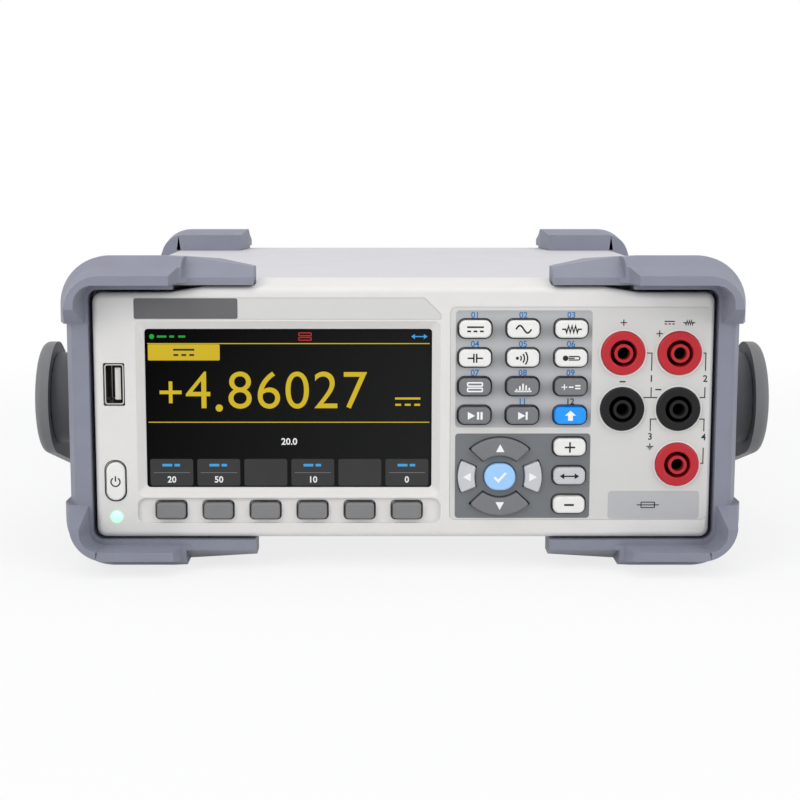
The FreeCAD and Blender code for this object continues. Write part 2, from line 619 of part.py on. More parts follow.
def bumper_blank(front):
    """The solid that both bumpers at one end are cut from, with the space inside its rim."""
    foot, side, wall = (number(t) for t in ("foot_h", "side_t", "rim_wall"))
    half, high = number(f"{HALF_W}"), number(f"{TOP} + foot_h")
    rim_up, rim_out = number("foot_h - rim_height"), number("rim_side")
    edge = number("0 - total_depth / 2" if front else "total_depth / 2")
    way = 1 if front else -1
    root = number(FACE if front else BACK)
    flat = root + way * number("ramp_len")
    level = flat + way * number("flat_len")
    ridge, drop_r = root - way * number("ridge_len"), number("ridge_drop")
    fall = number("pad_fall")
    end = root + way * number("pad_len" if front else "rear_pad_len")
    tail = end + way * number("pad_back" if front else "2")
    r, pad_r = number("corner_r"), number("pad_r" if front else "corner_r")
    side_end = half + (1.5 if front else side - 3.5)
    drop = foot - (1.5 if front else foot - 2.0)
    if not front:
        side -= 1.5
    outer = frustum([bumper_section(edge, half + rim_out, rim_up, high - rim_up, r - 2),
                     bumper_section(ridge, half + side - drop_r * 0.8, drop_r, high - drop_r, r - 1),
                     bumper_section(flat, half + side, 0, high, pad_r),
                     bumper_section(level, half + side, 0, high, pad_r),
                     bumper_section(end, half + side - 0.5, fall, high - fall, pad_r),
                     bumper_section(tail, side_end, drop, high - drop, r - 4)])
    mouth = half + rim_out - wall
    inner = frustum([bumper_section(edge - way, mouth + 0.1, rim_up + wall - 0.2,
                                    high - rim_up - wall + 0.2,
                                    number("mouth_r" if front else "corner_r - 4")),
                     bumper_section(root - way * 0.8, half + 0.9, foot - 0.9, high - foot + 0.9, 5)])
    return outer, inner


def front_bumper(side):
    """A soft bumper round one front corner pair: pads, rims ahead of the face and two arms."""
    outer, inner = bumper_blank(True)
    half, mid, high = number(HALF_W), number(MID), number(f"{TOP} + foot_h")
    face, edge = number(FACE), number("0 - total_depth / 2")
    foot, lip, lip_end = number("foot_h"), number("lip"), number(FACE) + number("lip_depth")
    span = number(f"{HALF_W} + side_t")
    pad_x, arm_x = span - number("pad_reach"), span - number("arm_reach")
    body = outer.common(Part.makeBox(span - arm_x, 400, high, Vector(arm_x, -200, 0)))
    body = body.cut(inner)
    # retaining lip over the case's front edge, then the case itself
    knee = half - number("hump_inset - bezel_inset - hump_slope") - 3
    top = number(f"{TOP} + 0.1")
    under = foot + number("bezel_low") - 0.75
    lip_hole = Part.makeBox(half * 2 - 0.6, 400, number(TOP) - lip - under,
                            Vector(-half + 0.3, -200, under))
    lip_hole = lip_hole.makeFillet(3.4, [e for e in lip_hole.Edges if e.BoundBox.YLength > 300])
    body = body.cut(lip_hole)
    body = body.cut(Part.makeBox(knee, 400, 10, Vector(0, -200, top - 10)))
    rear_space = case_space("0.1").common(
        Part.makeBox(half * 3, 300, high, Vector(-half * 1.5, lip_end, 0)))
    body = body.cut(rear_space)
    # the rim stands ahead of the face only round the corners
    end, tip = foot + number("rim_end"), foot + number("rim_tip")
    body = body.cut(yz_prism([(face - 0.8, end), (edge - 1, tip), (edge - 1, high - tip),
                              (face - 0.8, high - end)], 0, span + 1))
    # between the pads the flank stands back, with a slanted front edge
    flank = span - number("flank_in")
    brow = flank - number("flank_face")
    body = body.cut(xy_prism([(brow, face - 2), (brow, face - 0.8), (brow + 1.4, face + 0.2),
                              (flank, face + number("flank_run")), (flank, face + 60),
                              (span + 1, face + 60), (span + 1, face - 2)], end, high - end))
    body = body.cut(xy_prism([(0, edge - 1), (pad_x + 2, edge - 1), (pad_x, face - 3),
                              (pad_x - 3, face - 0.8), (0, face - 0.8)], -1, high + 1))
    # arms past the pads: lower towards their ends, with a chamfered front
    end_h, face_h = number("arm_end_h"), number("arm_face_h")
    back = number(FACE) + number("pad_len + pad_back") + 1
    for flip in (0, 1):
        def level(z, flip=flip):
            return high - z if flip else z
        wedge = Part.Face(Part.makePolygon([
            Vector(arm_x - 1, face - 2, level(-1)), Vector(pad_x + 4, face - 2, level(-1)),
            Vector(pad_x + 4, face - 2, level(0)), Vector(pad_x - 2, face - 2, level(0.6)),
            Vector(arm_x - 1, face - 2, level(foot - end_h)),
            Vector(arm_x - 1, face - 2, level(-1))])).extrude(Vector(0, back - face + 4, 0))
        ramp = yz_prism([(face - 2, level(-1)), (face + 16, level(-1)), (face + 16, level(0)),
                         (face - 0.9, level(foot - face_h)), (face - 2, level(foot - face_h))],
                        arm_x - 1, pad_x - 1)
        body = body.cut(wedge).cut(ramp)
    # the arm narrows towards its end, seen from above, and clears the handle's hub
    body = body.cut(xy_prism([(arm_x - 1, face + 14), (pad_x, back), (arm_x - 1, back)],
                             -1, high + 1))
    hub = Part.makeCylinder(number("hub_base_r") + 0.8, 60, Vector(half, number(HUB_Y), mid),
                            Vector(1, 0, 0))
    body = body.cut(hub)
    upright = [e for e in body.Edges if e.BoundBox.ZLength > 3
               and abs(e.BoundBox.XMax - arm_x) < 1e-3 and abs(e.BoundBox.XMin - arm_x) < 1e-3
               and abs(e.BoundBox.YMax - (face - 0.8)) < 0.3]
    if upright:
        body = body.makeFillet(1.6, upright)
    if side < 0:
        body = body.mirror(Vector(), Vector(1, 0, 0))
    set_shape("front_bumper_left" if side < 0 else "front_bumper_right", body)


def rear_bumper(side):
    """A soft bumper round one rear corner pair, with a rim that guards the connectors."""
    outer, inner = bumper_blank(False)
    half, high = number(HALF_W), number(f"{TOP} + foot_h")
    back, edge = number(BACK), number("total_depth / 2")
    foot, lip = number("foot_h"), number("lip")
    span = number(f"{HALF_W} + side_t")
    arm_x = span - number("rear_reach_x")
    body = outer.common(Part.makeBox(span - arm_x, 400, high, Vector(arm_x, -200, 0)))
    body = body.cut(inner)
    opening = Part.makeBox(half * 2 - lip * 2, 400, number("case_h") - lip * 2,
                           Vector(-half + lip, -200, foot + lip))
    opening = opening.makeFillet(4, [e for e in opening.Edges if e.BoundBox.YLength > 300])
    body = body.cut(opening)
    body = body.cut(case_space("0.1").common(
        Part.makeBox(half * 3, 400, high, Vector(-half * 1.5, back + 0.1 - 400, 0))))
    rise = number("corner_r") + 8
    body = body.cut(yz_prism([(back + 1.2, foot + rise + 8), (edge + 1, foot + rise - 5),
                              (edge + 1, high - foot - rise + 5), (back + 1.2, high - foot - rise - 8)],
                             0, span + 1))
    start = back - number("rear_pad_len") - 3
    body = body.cut(xy_prism([(arm_x - 1, start), (arm_x + 2.5, start), (arm_x - 1, back + 2)],
                             -1, high + 1))
    if side < 0:
        body = body.mirror(Vector(), Vector(1, 0, 0))
    set_shape("rear_bumper_left" if side < 0 else "rear_bumper_right", body)


# ---- handle -----------------------------------------------------------------------------

REST_ANGLE = f"asin(({MID} - grip_z) / arm_len)"


def arm_plate(name):
    """A tapered plate from the hub to the grip, drawn in its own frame along +Y."""
    sketch = doc.addObject("Sketcher::SketchObject", name + "_outline")
    big, small, reach = (number(t) for t in ("hub_r", "arm_end_r", "arm_len"))
    lean = math.acos((big - small) / reach)
    up = Vector(math.cos(lean), math.sin(lean))
    down = Vector(up.x, -up.y)
    far = Vector(reach, 0)
    axis = Vector(0, 0, 1)
    sketch.addGeometry([
        Part.ArcOfCircle(Part.Circle(Vector(), axis, big), lean, 2 * math.pi - lean),
        Part.LineSegment(down * big, far + down * small),
        Part.ArcOfCircle(Part.Circle(far, axis, small), -lean, lean),
        Part.LineSegment(far + up * small, up * big)], False)
    sketch.addConstraint([
        Constraint("Tangent", 0, 2, 1, 1), Constraint("Tangent", 1, 2, 2, 1),
        Constraint("Tangent", 2, 2, 3, 1), Constraint("Tangent", 3, 2, 0, 1),
        Constraint("Coincident", 0, 3, -1, 1), Constraint("PointOnObject", 2, 3, -1)])
    for label, rule, text in (("big", Constraint("Radius", 0, big), "hub_r"),
                              ("small", Constraint("Radius", 2, small), "arm_end_r"),
                              ("reach", Constraint("DistanceX", 0, 3, 2, 3, reach), "arm_len")):
        sketch.renameConstraint(sketch.addConstraint(rule), label)
        sketch.setExpression(f"Constraints.{label}", cell(text))
    plate = doc.addObject("Part::Extrusion", name + "_plate")
    plate.Base = sketch
    plate.DirMode = "Normal"
    plate.Solid = True
    return bind(plate, LengthFwd="arm_t")


def handle():
    """The carrying handle: two arms on hubs, and the bar that joins them under the case."""
    lower = Rotation(Vector(-1, 0, 0), number(REST_ANGLE))
    grip_y = f"({HUB_Y} + arm_len * cos({REST_ANGLE}))"
    for side, label in ((-1, "handle_arm_left"), (1, "handle_arm_right")):
        plate = arm_plate(label)
        plate.Placement = Placement(
            Vector(number("handle_w") / 2 - number("arm_t") if side > 0 else -number("handle_w") / 2,
                   number(HUB_Y), number(MID)),
            lower * Rotation(Vector(1, 1, 1), 120))
        doc.recompute()
        outside = number("handle_w") / 2 * side
        plate = rounded(plate, "arm_round", lambda e, outside=outside: abs(
            e.BoundBox.XMin - outside) < 1e-3 and abs(e.BoundBox.XMax - outside) < 1e-3)
        start = "handle_w / 2 - grip_lug" if side > 0 else "0 - handle_w / 2 + 0.6"
        lug = cross_bar(label + "_lug", "grip_lug - 0.6", start, grip_y)
        seat_x = "handle_w / 2 - arm_t - 1" if side > 0 else "0 - handle_w / 2 + arm_t - 3.1"
        seat = rod(label + "_seat", "spigot_r", "4.1", seat_x, HUB_Y, MID, ALONG_X)
        node(label, cut(label, join(label + "_solid", [plate, lug]), [seat]))
    node("handle_grip", cross_bar("handle_grip", "handle_w - grip_lug * 2",
                                  "0 - handle_w / 2 + grip_lug", grip_y))
    hubs = []
    for side in (-1, 1):
        inner = "case_w / 2 + 0.02" if side > 0 else "0 - handle_w / 2 + arm_t + 0.3"
        base = rod(f"hub_base_{side + 1}", "hub_base_r", "(handle_w - case_w) / 2 - arm_t - 0.32",
                   inner, HUB_Y, MID, ALONG_X)
        tip = "handle_w / 2 - arm_t - 1.3" if side > 0 else "0 - handle_w / 2 + arm_t - 2.9"
        spigot = rod(f"hub_spigot_{side + 1}", "spigot_r - pin_play", "4.2", tip, HUB_Y, MID,
                     ALONG_X)
        screw = rod(f"hub_screw_{side + 1}", "2", "8", f"{HALF_W} * {side} - {8 if side > 0 else 0}",
                    HUB_Y, MID, ALONG_X)
        hubs.append(join(f"hub_{side + 1}", [base, spigot, screw]))
    node("handle_hubs", group("handle_hubs", hubs))


def cross_bar(name, length, x, y):
    """A flat bar with round edges that runs along +X."""
    sketch = doc.addObject("Sketcher::SketchObject", name + "_section")
    draw_rounded(sketch, "grip_w", "grip_t", "grip_t / 2 - 0.1")
    sketch.Placement = Placement(Vector(), Rotation(Vector(1, 1, 1), 120))
    for axis, text in zip("xyz", (x, y, "grip_z")):
        sketch.setExpression(f"Placement.Base.{axis}", cell(text))
    bar = doc.addObject("Part::Extrusion", name + "_bar")
    bar.Base = sketch
    bar.DirMode = "Custom"
    bar.Dir = Vector(1, 0, 0)
    bar.Solid = True
    return bind(bar, LengthFwd=length)


# ---- rear -------------------------------------------------------------------------------

INLET_X = f"({HALF_W} - inlet_x - 14)"
INLET_Z = f"({MID} + inlet_z)"
SELECTOR_Z = f"({INLET_Z} + inlet_h / 2 + 8)"
PORTS_X = f"({LEFT_EDGE} + 66)"
CAP_X = f"({HALF_W} - inlet_x - 42)"
CAP_BARREL_R = "(cap_r - 1.6)"


def screw_spots():
    """Centres of the four screws that hold the rear panel."""
    return [(f"({HALF_W} - screw_inset) * {sx}", f"({MID} + (case_h / 2 - 8) * {sz})")
            for sx in (-1, 1) for sz in (-1, 1)]


def rear_panel():
    """The rear panel with its openings."""
    y = f"({BACK} - rear_t - 0.05)"
    plate = prism("rear_plate", "case_w - sheet_t * 2 - panel_gap * 2",
                  "case_h - sheet_t * 2 - panel_gap * 2", "bend_r", "rear_t", "0", y, MID)
    front, deep = f"({y} - 1)", "rear_t + 2"
    tools = [box("inlet_hole", "inlet_w + 0.3", deep, "inlet_h + 0.3", INLET_X, front, INLET_Z),
             box("selector_hole", "selector_w - 3", deep, "selector_h - 2", INLET_X, front,
                 SELECTOR_Z),
             rod("cap_hole", f"{CAP_BARREL_R} + pin_play", deep, CAP_X, front, INLET_Z),
             box("lan_hole", "lan_w + 0.3", deep, "lan_h + 0.3", PORTS_X, front,
                 f"({MID} + 12)"),
             box("usbb_hole", "usbb_w + 0.3", deep, "usbb_h + 0.3", PORTS_X, front,
                 f"({MID} - 12)")]
    for i in (0, 1):
        tools.append(rod(f"bnc_hole_{i}", "bnc_r + 0.1", deep, f"({LEFT_EDGE} + 30)", front,
                         f"({MID} + bnc_pitch * {0.5 - i})"))
    for i in range(9):
        tools.append(box(f"rear_vent_{i}", "26", deep, "2.4", f"({HALF_W} - 120 + 20)", front,
                         f"({MID} + 24 - 6 * {i})"))
    screws = []
    for i, (x, z) in enumerate(screw_spots()):
        tools.append(rod(f"screw_hole_{i}", "screw_r + 0.1", deep, x, front, z))
        shank = rod(f"screw_shank_{i}", "screw_r", "8", x, f"({BACK} - 8)", z)
        head = rod(f"screw_head_{i}", "screw_r * 2", "1.9", x, f"({BACK} - 0.03)", z)
        drive = [box(f"screw_drive_{i}_{turn}", wide, "1.5", tall, x, f"({BACK} + 0.9)", z)
                 for turn, (wide, tall) in enumerate((("3.4", "0.7"), ("0.7", "3.4")))]
        screws.append(cut(f"screw_{i}", join(f"screw_blank_{i}", [shank, head]), drive))
    node("rear_panel", cut("rear_panel", plate, tools))
    node("panel_screws", group("panel_screws", screws))


def power_entry():
    """The mains inlet, its fuse drawer, the voltage selector and the input fuse's cap."""
    y = f"({BACK} - inlet_deep)"
    shell = box("inlet_shell", "inlet_w", "inlet_deep + 1.6", "inlet_h", INLET_X, y, INLET_Z)
    flange = box("inlet_flange", "inlet_w + 4", "1.6", "inlet_h + 4", INLET_X, BACK, INLET_Z)
    well = box("inlet_well", "24.4", "inlet_deep", "16.6", INLET_X, f"({y} + 3)",
               f"({INLET_Z} + 5)")
    slide = box("drawer_slot", "inlet_w - 6", "inlet_deep", "drawer_h + 0.4", INLET_X,
                f"({y} + 4)", f"({INLET_Z} - inlet_h / 2 + drawer_h / 2 + 3)")
    inlet = cut("inlet_body", join("inlet_blank", [shell, flange]), [well, slide])
    pins = [box(f"inlet_pin_{i}", "2", "16", "4.6", f"({INLET_X} + {7 * i})", f"({y} + 2)",
                f"({INLET_Z} + {5 if i else 7})") for i in (-1, 0, 1)]
    node("mains_inlet", join("mains_inlet", [inlet] + pins))
    drawer = box("drawer_tray", "inlet_w - 6.4", "inlet_deep - 6", "drawer_h", INLET_X,
                 f"({y} + 5)", f"({INLET_Z} - inlet_h / 2 + drawer_h / 2 + 3)")
    pull = box("drawer_pull", "inlet_w - 6.4", "3", "drawer_h", INLET_X, f"({BACK} - 1.1)",
               f"({INLET_Z} - inlet_h / 2 + drawer_h / 2 + 3)")
    node("fuse_drawer", join("fuse_drawer", [drawer, pull]))
    frame = box("selector_frame", "selector_w + 6", "6", "selector_h + 4", INLET_X,
                f"({BACK} - rear_t - 6.1)", SELECTOR_Z)
    gap = box("selector_gap", "selector_w - 3", "7", "selector_h - 3.6", INLET_X,
              f"({BACK} - rear_t - 4.6)", SELECTOR_Z)
    knob = box("selector_knob", "4.4", "4.6", "selector_h - 4", f"({INLET_X} - 2.4)",
               f"({BACK} - rear_t - 4.5)", SELECTOR_Z)
    node("selector_body", cut("selector_body", frame, [gap]))
    node("voltage_selector", knob)
    barrel = rod("cap_barrel", CAP_BARREL_R, "18", CAP_X, f"({BACK} - 17.9)", INLET_Z)
    head = rod("cap_head", "cap_r", "cap_len", CAP_X, f"({BACK} + 0.1)", INLET_Z)
    slot = box("cap_slot", "cap_r * 1.5", "4", "1.6", CAP_X, f"({BACK} + cap_len - 1.4)", INLET_Z)
    node("input_fuse_cap", cut("input_fuse_cap", join("cap_blank", [barrel, head]), [slot]))


def rear_connectors():
    """Two BNC sockets, the network and USB device sockets, and the input fuse's holder."""
    start = f"({BACK} - rear_t - 0.05 - 20)"
    pieces = [cut("cap_holder", rod("holder_tube", "cap_r", "20", CAP_X, start, INLET_Z),
                  [rod("holder_bore", f"{CAP_BARREL_R} + pin_play", "19", CAP_X,
                       f"({start} + 1.5)", INLET_Z)])]
    for i in (0, 1):
        x, z = f"({LEFT_EDGE} + 30)", f"({MID} + bnc_pitch * {0.5 - i})"
        barrel = rod(f"bnc_barrel_{i}", "bnc_r", "bnc_len + 14", x, f"({BACK} - 14)", z)
        collar = rod(f"bnc_collar_{i}", "bnc_r + 2.2", "2", x, f"({BACK} + 0.02)", z)
        ears = rod(f"bnc_ears_{i}", "1", "bnc_r * 2 + 2.6", f"({x} - bnc_r - 1.3)",
                   f"({BACK} + bnc_len - 4)", z, ALONG_X)
        well = cut(f"bnc_well_{i}", rod(f"bnc_bore_{i}", "bnc_r - 0.8", "9", x,
                                        f"({BACK} + bnc_len - 8)", z),
                   [rod(f"bnc_pin_{i}", "1.1", "8", x, f"({BACK} + bnc_len - 9)", z)])
        pieces.append(cut(f"bnc_{i}", join(f"bnc_blank_{i}", [barrel, collar, ears]), [well]))
    for name, w, h, lift, inner_w, inner_h in (
            ("lan", "lan_w", "lan_h", "12", "12", "8.4"),
            ("usbb", "usbb_w", "usbb_h", "0 - 12", "8.6", "7.8")):
        z = f"({MID} + {lift})"
        y = f"({BACK} - port_deep + 0.6)"
        shell = box(f"{name}_shell", w, "port_deep", h, PORTS_X, y, z)
        well = box(f"{name}_well", inner_w, "port_deep", inner_h, PORTS_X, f"({y} + 3)", z)
        solids = [cut(f"{name}_socket", shell, [well])]
        if name == "usbb":
            solids.append(box("usbb_tongue", "5.2", "port_deep - 7", "3.0", PORTS_X,
                              f"({y} + 2)", z))
        pieces.append(join(f"{name}_port", solids))
    node("rear_connectors", group("rear_connectors", pieces))


# ---- inside -----------------------------------------------------------------------------


def boards():
    """The front board with its key switches, and the main board with its large parts."""
    y = f"({FACE} + front_board_y)"
    plate = box("front_plate", "case_w - 20", "board_t", "case_h - 22", "0", y, MID)
    tools = [rod(label + "_pass", "jack_r + 1.6", "6", x, f"({y} - 2)", z)
             for label, x, z in jack_spots()]
    tools.append(box("usb_pass", "usb_w + 2", "6", "usb_tall + 2", COLUMN_X, f"({y} - 2)",
                     f"({MID} + usb_z)"))
    gap = "(front_board_y - bezel_t - fit_gap - 1 - key_travel - key_rest)"
    switches = [box(f"switch_{i}", "3.6", gap, "3.6", x, f"({y} - {gap})", z)
                for i, (x, z) in enumerate(KEY_SPOTS)]
    node("front_board", join("front_board", [cut("front_plate_cut", plate, tools)] + switches))
    z = BOARD_Z
    near = f"({FACE} + 40)"
    main = at(bind(doc.addObject("Part::Box", "main_plate"), Length="main_w", Width="main_d",
                   Height="board_t"), "0 - main_w / 2", near, z)
    top = f"({z} + board_t)"
    parts = [main]
    for i in range(4):
        parts.append(box(f"relay_{i}", "10", "20", "11", f"({HALF_W} - 40 - 14 * {i})",
                         f"({near} + 12)", f"({top} + 5.5)"))
    for i in range(3):
        parts.append(at(bind(doc.addObject("Part::Cylinder", f"capacitor_{i}"), Radius="8",
                             Height="25"), f"(18 * {i} - 30)", f"({near} + 160)", top))
    parts.append(box("shield_can", "60", "70", "18", f"({LEFT_EDGE} + 62)", f"({near} + 40)",
                     f"({top} + 9)"))
    parts.append(box("heat_sink", "40", "12", "30", f"({LEFT_EDGE} + 50)", f"({near} + 150)",
                     f"({top} + 15)"))
    parts.append(at(bind(doc.addObject("Part::Cylinder", "input_fuse"), Radius="3.2",
                         Height="32"), f"({HALF_W} - 74)", f"({near} + 60)", f"({top} + 3.1)",
                    ALONG_Y))
    node("main_board", join("main_board", parts))
    base = f"({top} + 0.05)"
    x, yy = f"({HALF_W} - 48)", f"({near} + 110)"
    core = box("core", "48", "42", "40", x, yy, f"({base} + 20)")
    coil = box("coil", "30", "54", "30", x, f"({yy} - 6)", f"({base} + 20)")
    node("transformer", join("transformer", [core, coil]))


def main():
    """Builds every sub-part, checks it and writes it."""
    holes = keys()
    front_bezel(holes)
    label_films(holes)
    display()
    usb_port()
    power_led()
    terminals()
    top_cover()
    chassis_tray()
    for side in (-1, 1):
        front_bumper(side)
        rear_bumper(side)
    handle()
    rear_panel()
    power_entry()
    rear_connectors()
    doc.recompute()
    boards()
    doc.recompute()
    bad = [o.Label for o in doc.Objects if "Invalid" in o.State or "Error" in o.State]
    bad += [n for n, o in NODES.items() if o.Shape.isNull() or not o.Shape.isValid()
            or not o.Shape.Solids]
    if bad:
        raise SystemExit(f"failed: {bad}")
    os.makedirs(PARTS, exist_ok=True)
    for label, thing in NODES.items():
        thing.Shape.exportStep(os.path.join(PARTS, label + ".step"))
    print(len(NODES), "sub-parts written")


main()
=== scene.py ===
"""Bench multimeter: its finishes, printed legends, lit display and studio set.

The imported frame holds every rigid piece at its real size. This script dresses those pieces, adds
the printing and the picture on the display, and lights and frames the whole. Lengths are in
metres, in the frame's own axes: +X right, +Y to the rear, +Z up.
"""
import logging
import math
from dataclasses import dataclass, field
from enum import Enum
from typing import Iterable, Sequence

import bmesh
import bpy
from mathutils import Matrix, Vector


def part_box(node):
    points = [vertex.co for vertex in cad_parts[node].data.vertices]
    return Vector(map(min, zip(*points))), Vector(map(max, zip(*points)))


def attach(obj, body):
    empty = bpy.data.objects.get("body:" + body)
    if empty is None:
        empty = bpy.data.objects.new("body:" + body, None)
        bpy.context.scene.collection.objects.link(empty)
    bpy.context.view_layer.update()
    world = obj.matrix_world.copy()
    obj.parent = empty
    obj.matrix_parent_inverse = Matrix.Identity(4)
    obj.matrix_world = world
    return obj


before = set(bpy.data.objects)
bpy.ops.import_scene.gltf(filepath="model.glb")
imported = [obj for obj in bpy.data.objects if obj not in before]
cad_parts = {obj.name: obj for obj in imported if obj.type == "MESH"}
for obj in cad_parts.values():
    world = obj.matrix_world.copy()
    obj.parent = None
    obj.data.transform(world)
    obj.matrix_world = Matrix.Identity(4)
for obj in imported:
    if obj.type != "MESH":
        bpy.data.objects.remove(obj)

LOG = logging.getLogger("bench_multimeter")
MM = 0.001
INK_PROUD = 0.03 * MM
CASE = "case"

Point = tuple[float, float]
Colour = tuple[float, float, float]


def linear(red: int, green: int, blue: int) -> Colour:
    """Turns a colour from 0 to 255 on each channel into the renderer's linear values.

    Args:
        red: Red channel.
        green: Green channel.
        blue: Blue channel.

    Returns:
        The same colour in linear light, each channel from 0 to 1.
    """
    def channel(value: int) -> float:
        """One channel in linear light."""
        part = value / 255
        return part / 12.92 if part <= 0.04045 else ((part + 0.055) / 1.055) ** 2.4
    return channel(red), channel(green), channel(blue)


# ---- finishes ---------------------------------------------------------------------------


@dataclass(frozen=True)
class Finish:
    """A moulded, painted or plated surface with fine grain and a little unevenness.

    Attributes:
        name: Name of the material.
        colour: Base colour in linear light.
        roughness: Mean roughness.
        grain: Depth of the surface grain, as bump strength.
        grain_size: Size of one grain, in metres.
        mottle: How far the colour wanders, as a share of itself.
        metallic: Whether the surface is bare metal, 0 or 1.
        coat: Weight of a clear coat.
        glow: Strength of the surface's own light.
        specular: Strength of its reflection, 0.5 for a plain plastic.
    """

    name: str
    colour: Colour
    roughness: float = 0.5
    grain: float = 0.15
    grain_size: float = 0.5 * MM
    mottle: float = 0.05
    metallic: float = 0.0
    coat: float = 0.0
    glow: float = 0.0
    specular: float = 0.3

    def material(self) -> bpy.types.Material:
        """The material, made on first use and shared after that.

        Returns:
            The material.
        """
        found = bpy.data.materials.get(self.name)
        if found:
            return found
        made = bpy.data.materials.new(self.name)
        made.use_nodes = True
        tree = made.node_tree
        shader = tree.nodes["Principled BSDF"]
        shader.inputs["Metallic"].default_value = self.metallic
        shader.inputs["Coat Weight"].default_value = self.coat
        shader.inputs["Coat Roughness"].default_value = 0.12
        shader.inputs["Specular IOR Level"].default_value = self.specular
        place = tree.nodes.new("ShaderNodeTexCoord").outputs["Object"]
        self.paint(tree, shader, place)
        self.texture(tree, shader, place)
        if self.glow:
            shader.inputs["Emission Color"].default_value = (*self.colour, 1)
            shader.inputs["Emission Strength"].default_value = self.glow
        return made

    def paint(self, tree: bpy.types.NodeTree, shader: bpy.types.Node,
              place: bpy.types.NodeSocket) -> None:
        """Wires the colour.

        Args:
            tree: Node tree of the material.
            shader: Its shader.
            place: Position on the object.
        """
        tree.links.new(self.mottled(tree, place, self.colour), shader.inputs["Base Color"])

    def mottled(self, tree: bpy.types.NodeTree, place: bpy.types.NodeSocket,
                colour: Colour) -> bpy.types.NodeSocket:
        """A colour that wanders a little over the surface.

        Args:
            tree: Node tree of the material.
            place: Position on the object.
            colour: Mean colour.

        Returns:
            Socket that gives the colour.
        """
        cloud = add_noise(tree, place, 1 / (24 * self.grain_size), 3)
        ramp = tree.nodes.new("ShaderNodeValToRGB")
        tree.links.new(cloud, ramp.inputs["Fac"])
        for stop, side in zip(ramp.color_ramp.elements, (-1, 1)):
            stop.position = 0.5 + 0.25 * side
            stop.color = (*(c * (1 + side * self.mottle) for c in colour), 1)
        return ramp.outputs["Color"]

    def texture(self, tree: bpy.types.NodeTree, shader: bpy.types.Node,
                place: bpy.types.NodeSocket) -> None:
        """Wires the roughness and the grain.

        Args:
            tree: Node tree of the material.
            shader: Its shader.
            place: Position on the object.
        """
        smear = add_noise(tree, place, 1 / (60 * self.grain_size), 2)
        spread = tree.nodes.new("ShaderNodeMapRange")
        spread.inputs["To Min"].default_value = self.roughness * 0.88
        spread.inputs["To Max"].default_value = min(1.0, self.roughness * 1.12)
        tree.links.new(smear, spread.inputs["Value"])
        tree.links.new(spread.outputs["Result"], shader.inputs["Roughness"])
        if self.grain:
            grain = add_noise(tree, place, 1 / self.grain_size, 2)
            bump = tree.nodes.new("ShaderNodeBump")
            bump.inputs["Strength"].default_value = self.grain
            bump.inputs["Distance"].default_value = self.grain_size * 0.2
            tree.links.new(grain, bump.inputs["Height"])
            tree.links.new(bump.outputs["Normal"], shader.inputs["Normal"])


def add_noise(tree: bpy.types.NodeTree, place: bpy.types.NodeSocket, scale: float,
              detail: float) -> bpy.types.NodeSocket:
    """Adds a noise texture.

    Args:
        tree: Node tree of the material.
        place: Position on the object.
        scale: Grains per metre.
        detail: Octaves.

    Returns:
        Socket that gives the noise, from 0 to 1.
    """
    noise = tree.nodes.new("ShaderNodeTexNoise")
    noise.inputs["Scale"].default_value = scale
    noise.inputs["Detail"].default_value = detail
    tree.links.new(place, noise.inputs["Vector"])
    return noise.outputs["Fac"]


def add_maths(tree: bpy.types.NodeTree, operation: str, first: bpy.types.NodeSocket,
              second: float | bpy.types.NodeSocket = 0.0) -> bpy.types.NodeSocket:
    """Adds a maths node.

    Args:
        tree: Node tree of the material.
        operation: Blender's name of the operation.
        first: First value.
        second: Second value, as a number or a socket.

    Returns:
        Socket that gives the result.
    """
    node = tree.nodes.new("ShaderNodeMath")
    node.operation = operation
    tree.links.new(first, node.inputs[0])
    if isinstance(second, float):
        node.inputs[1].default_value = second
    else:
        tree.links.new(second, node.inputs[1])
    return node.outputs["Value"]


def add_mix(tree: bpy.types.NodeTree, share: bpy.types.NodeSocket,
            below: Colour | bpy.types.NodeSocket,
            above: Colour | bpy.types.NodeSocket) -> bpy.types.NodeSocket:
    """Mixes two colours.

    Args:
        tree: Node tree of the material.
        share: How much of the second colour shows.
        below: First colour.
        above: Second colour.

    Returns:
        Socket that gives the mix.
    """
    mix = tree.nodes.new("ShaderNodeMix")
    mix.data_type = "RGBA"
    tree.links.new(share, mix.inputs["Factor"])
    for name, value in (("A", below), ("B", above)):
        socket = next(s for s in mix.inputs if s.name == name and s.type == "RGBA")
        if isinstance(value, tuple):
            socket.default_value = (*value, 1)
        else:
            tree.links.new(value, socket)
    return next(s for s in mix.outputs if s.type == "RGBA")


@dataclass(frozen=True)
class LitFinish(Finish):
    """A lit area of the display: dark by itself, with its colour in its own light."""

    grain: float = 0.0
    grain_size: float = 0.3 * MM
    mottle: float = 0.03
    specular: float = 0.1

    def paint(self, tree: bpy.types.NodeTree, shader: bpy.types.Node,
              place: bpy.types.NodeSocket) -> None:
        """Wires the colour to the surface's own light.

        Args:
            tree: Node tree of the material.
            shader: Its shader.
            place: Position on the object.
        """
        shader.inputs["Base Color"].default_value = (0.002, 0.002, 0.002, 1)
        tree.links.new(self.mottled(tree, place, self.colour), shader.inputs["Emission Color"])
        shader.inputs["Emission Strength"].default_value = 1.0


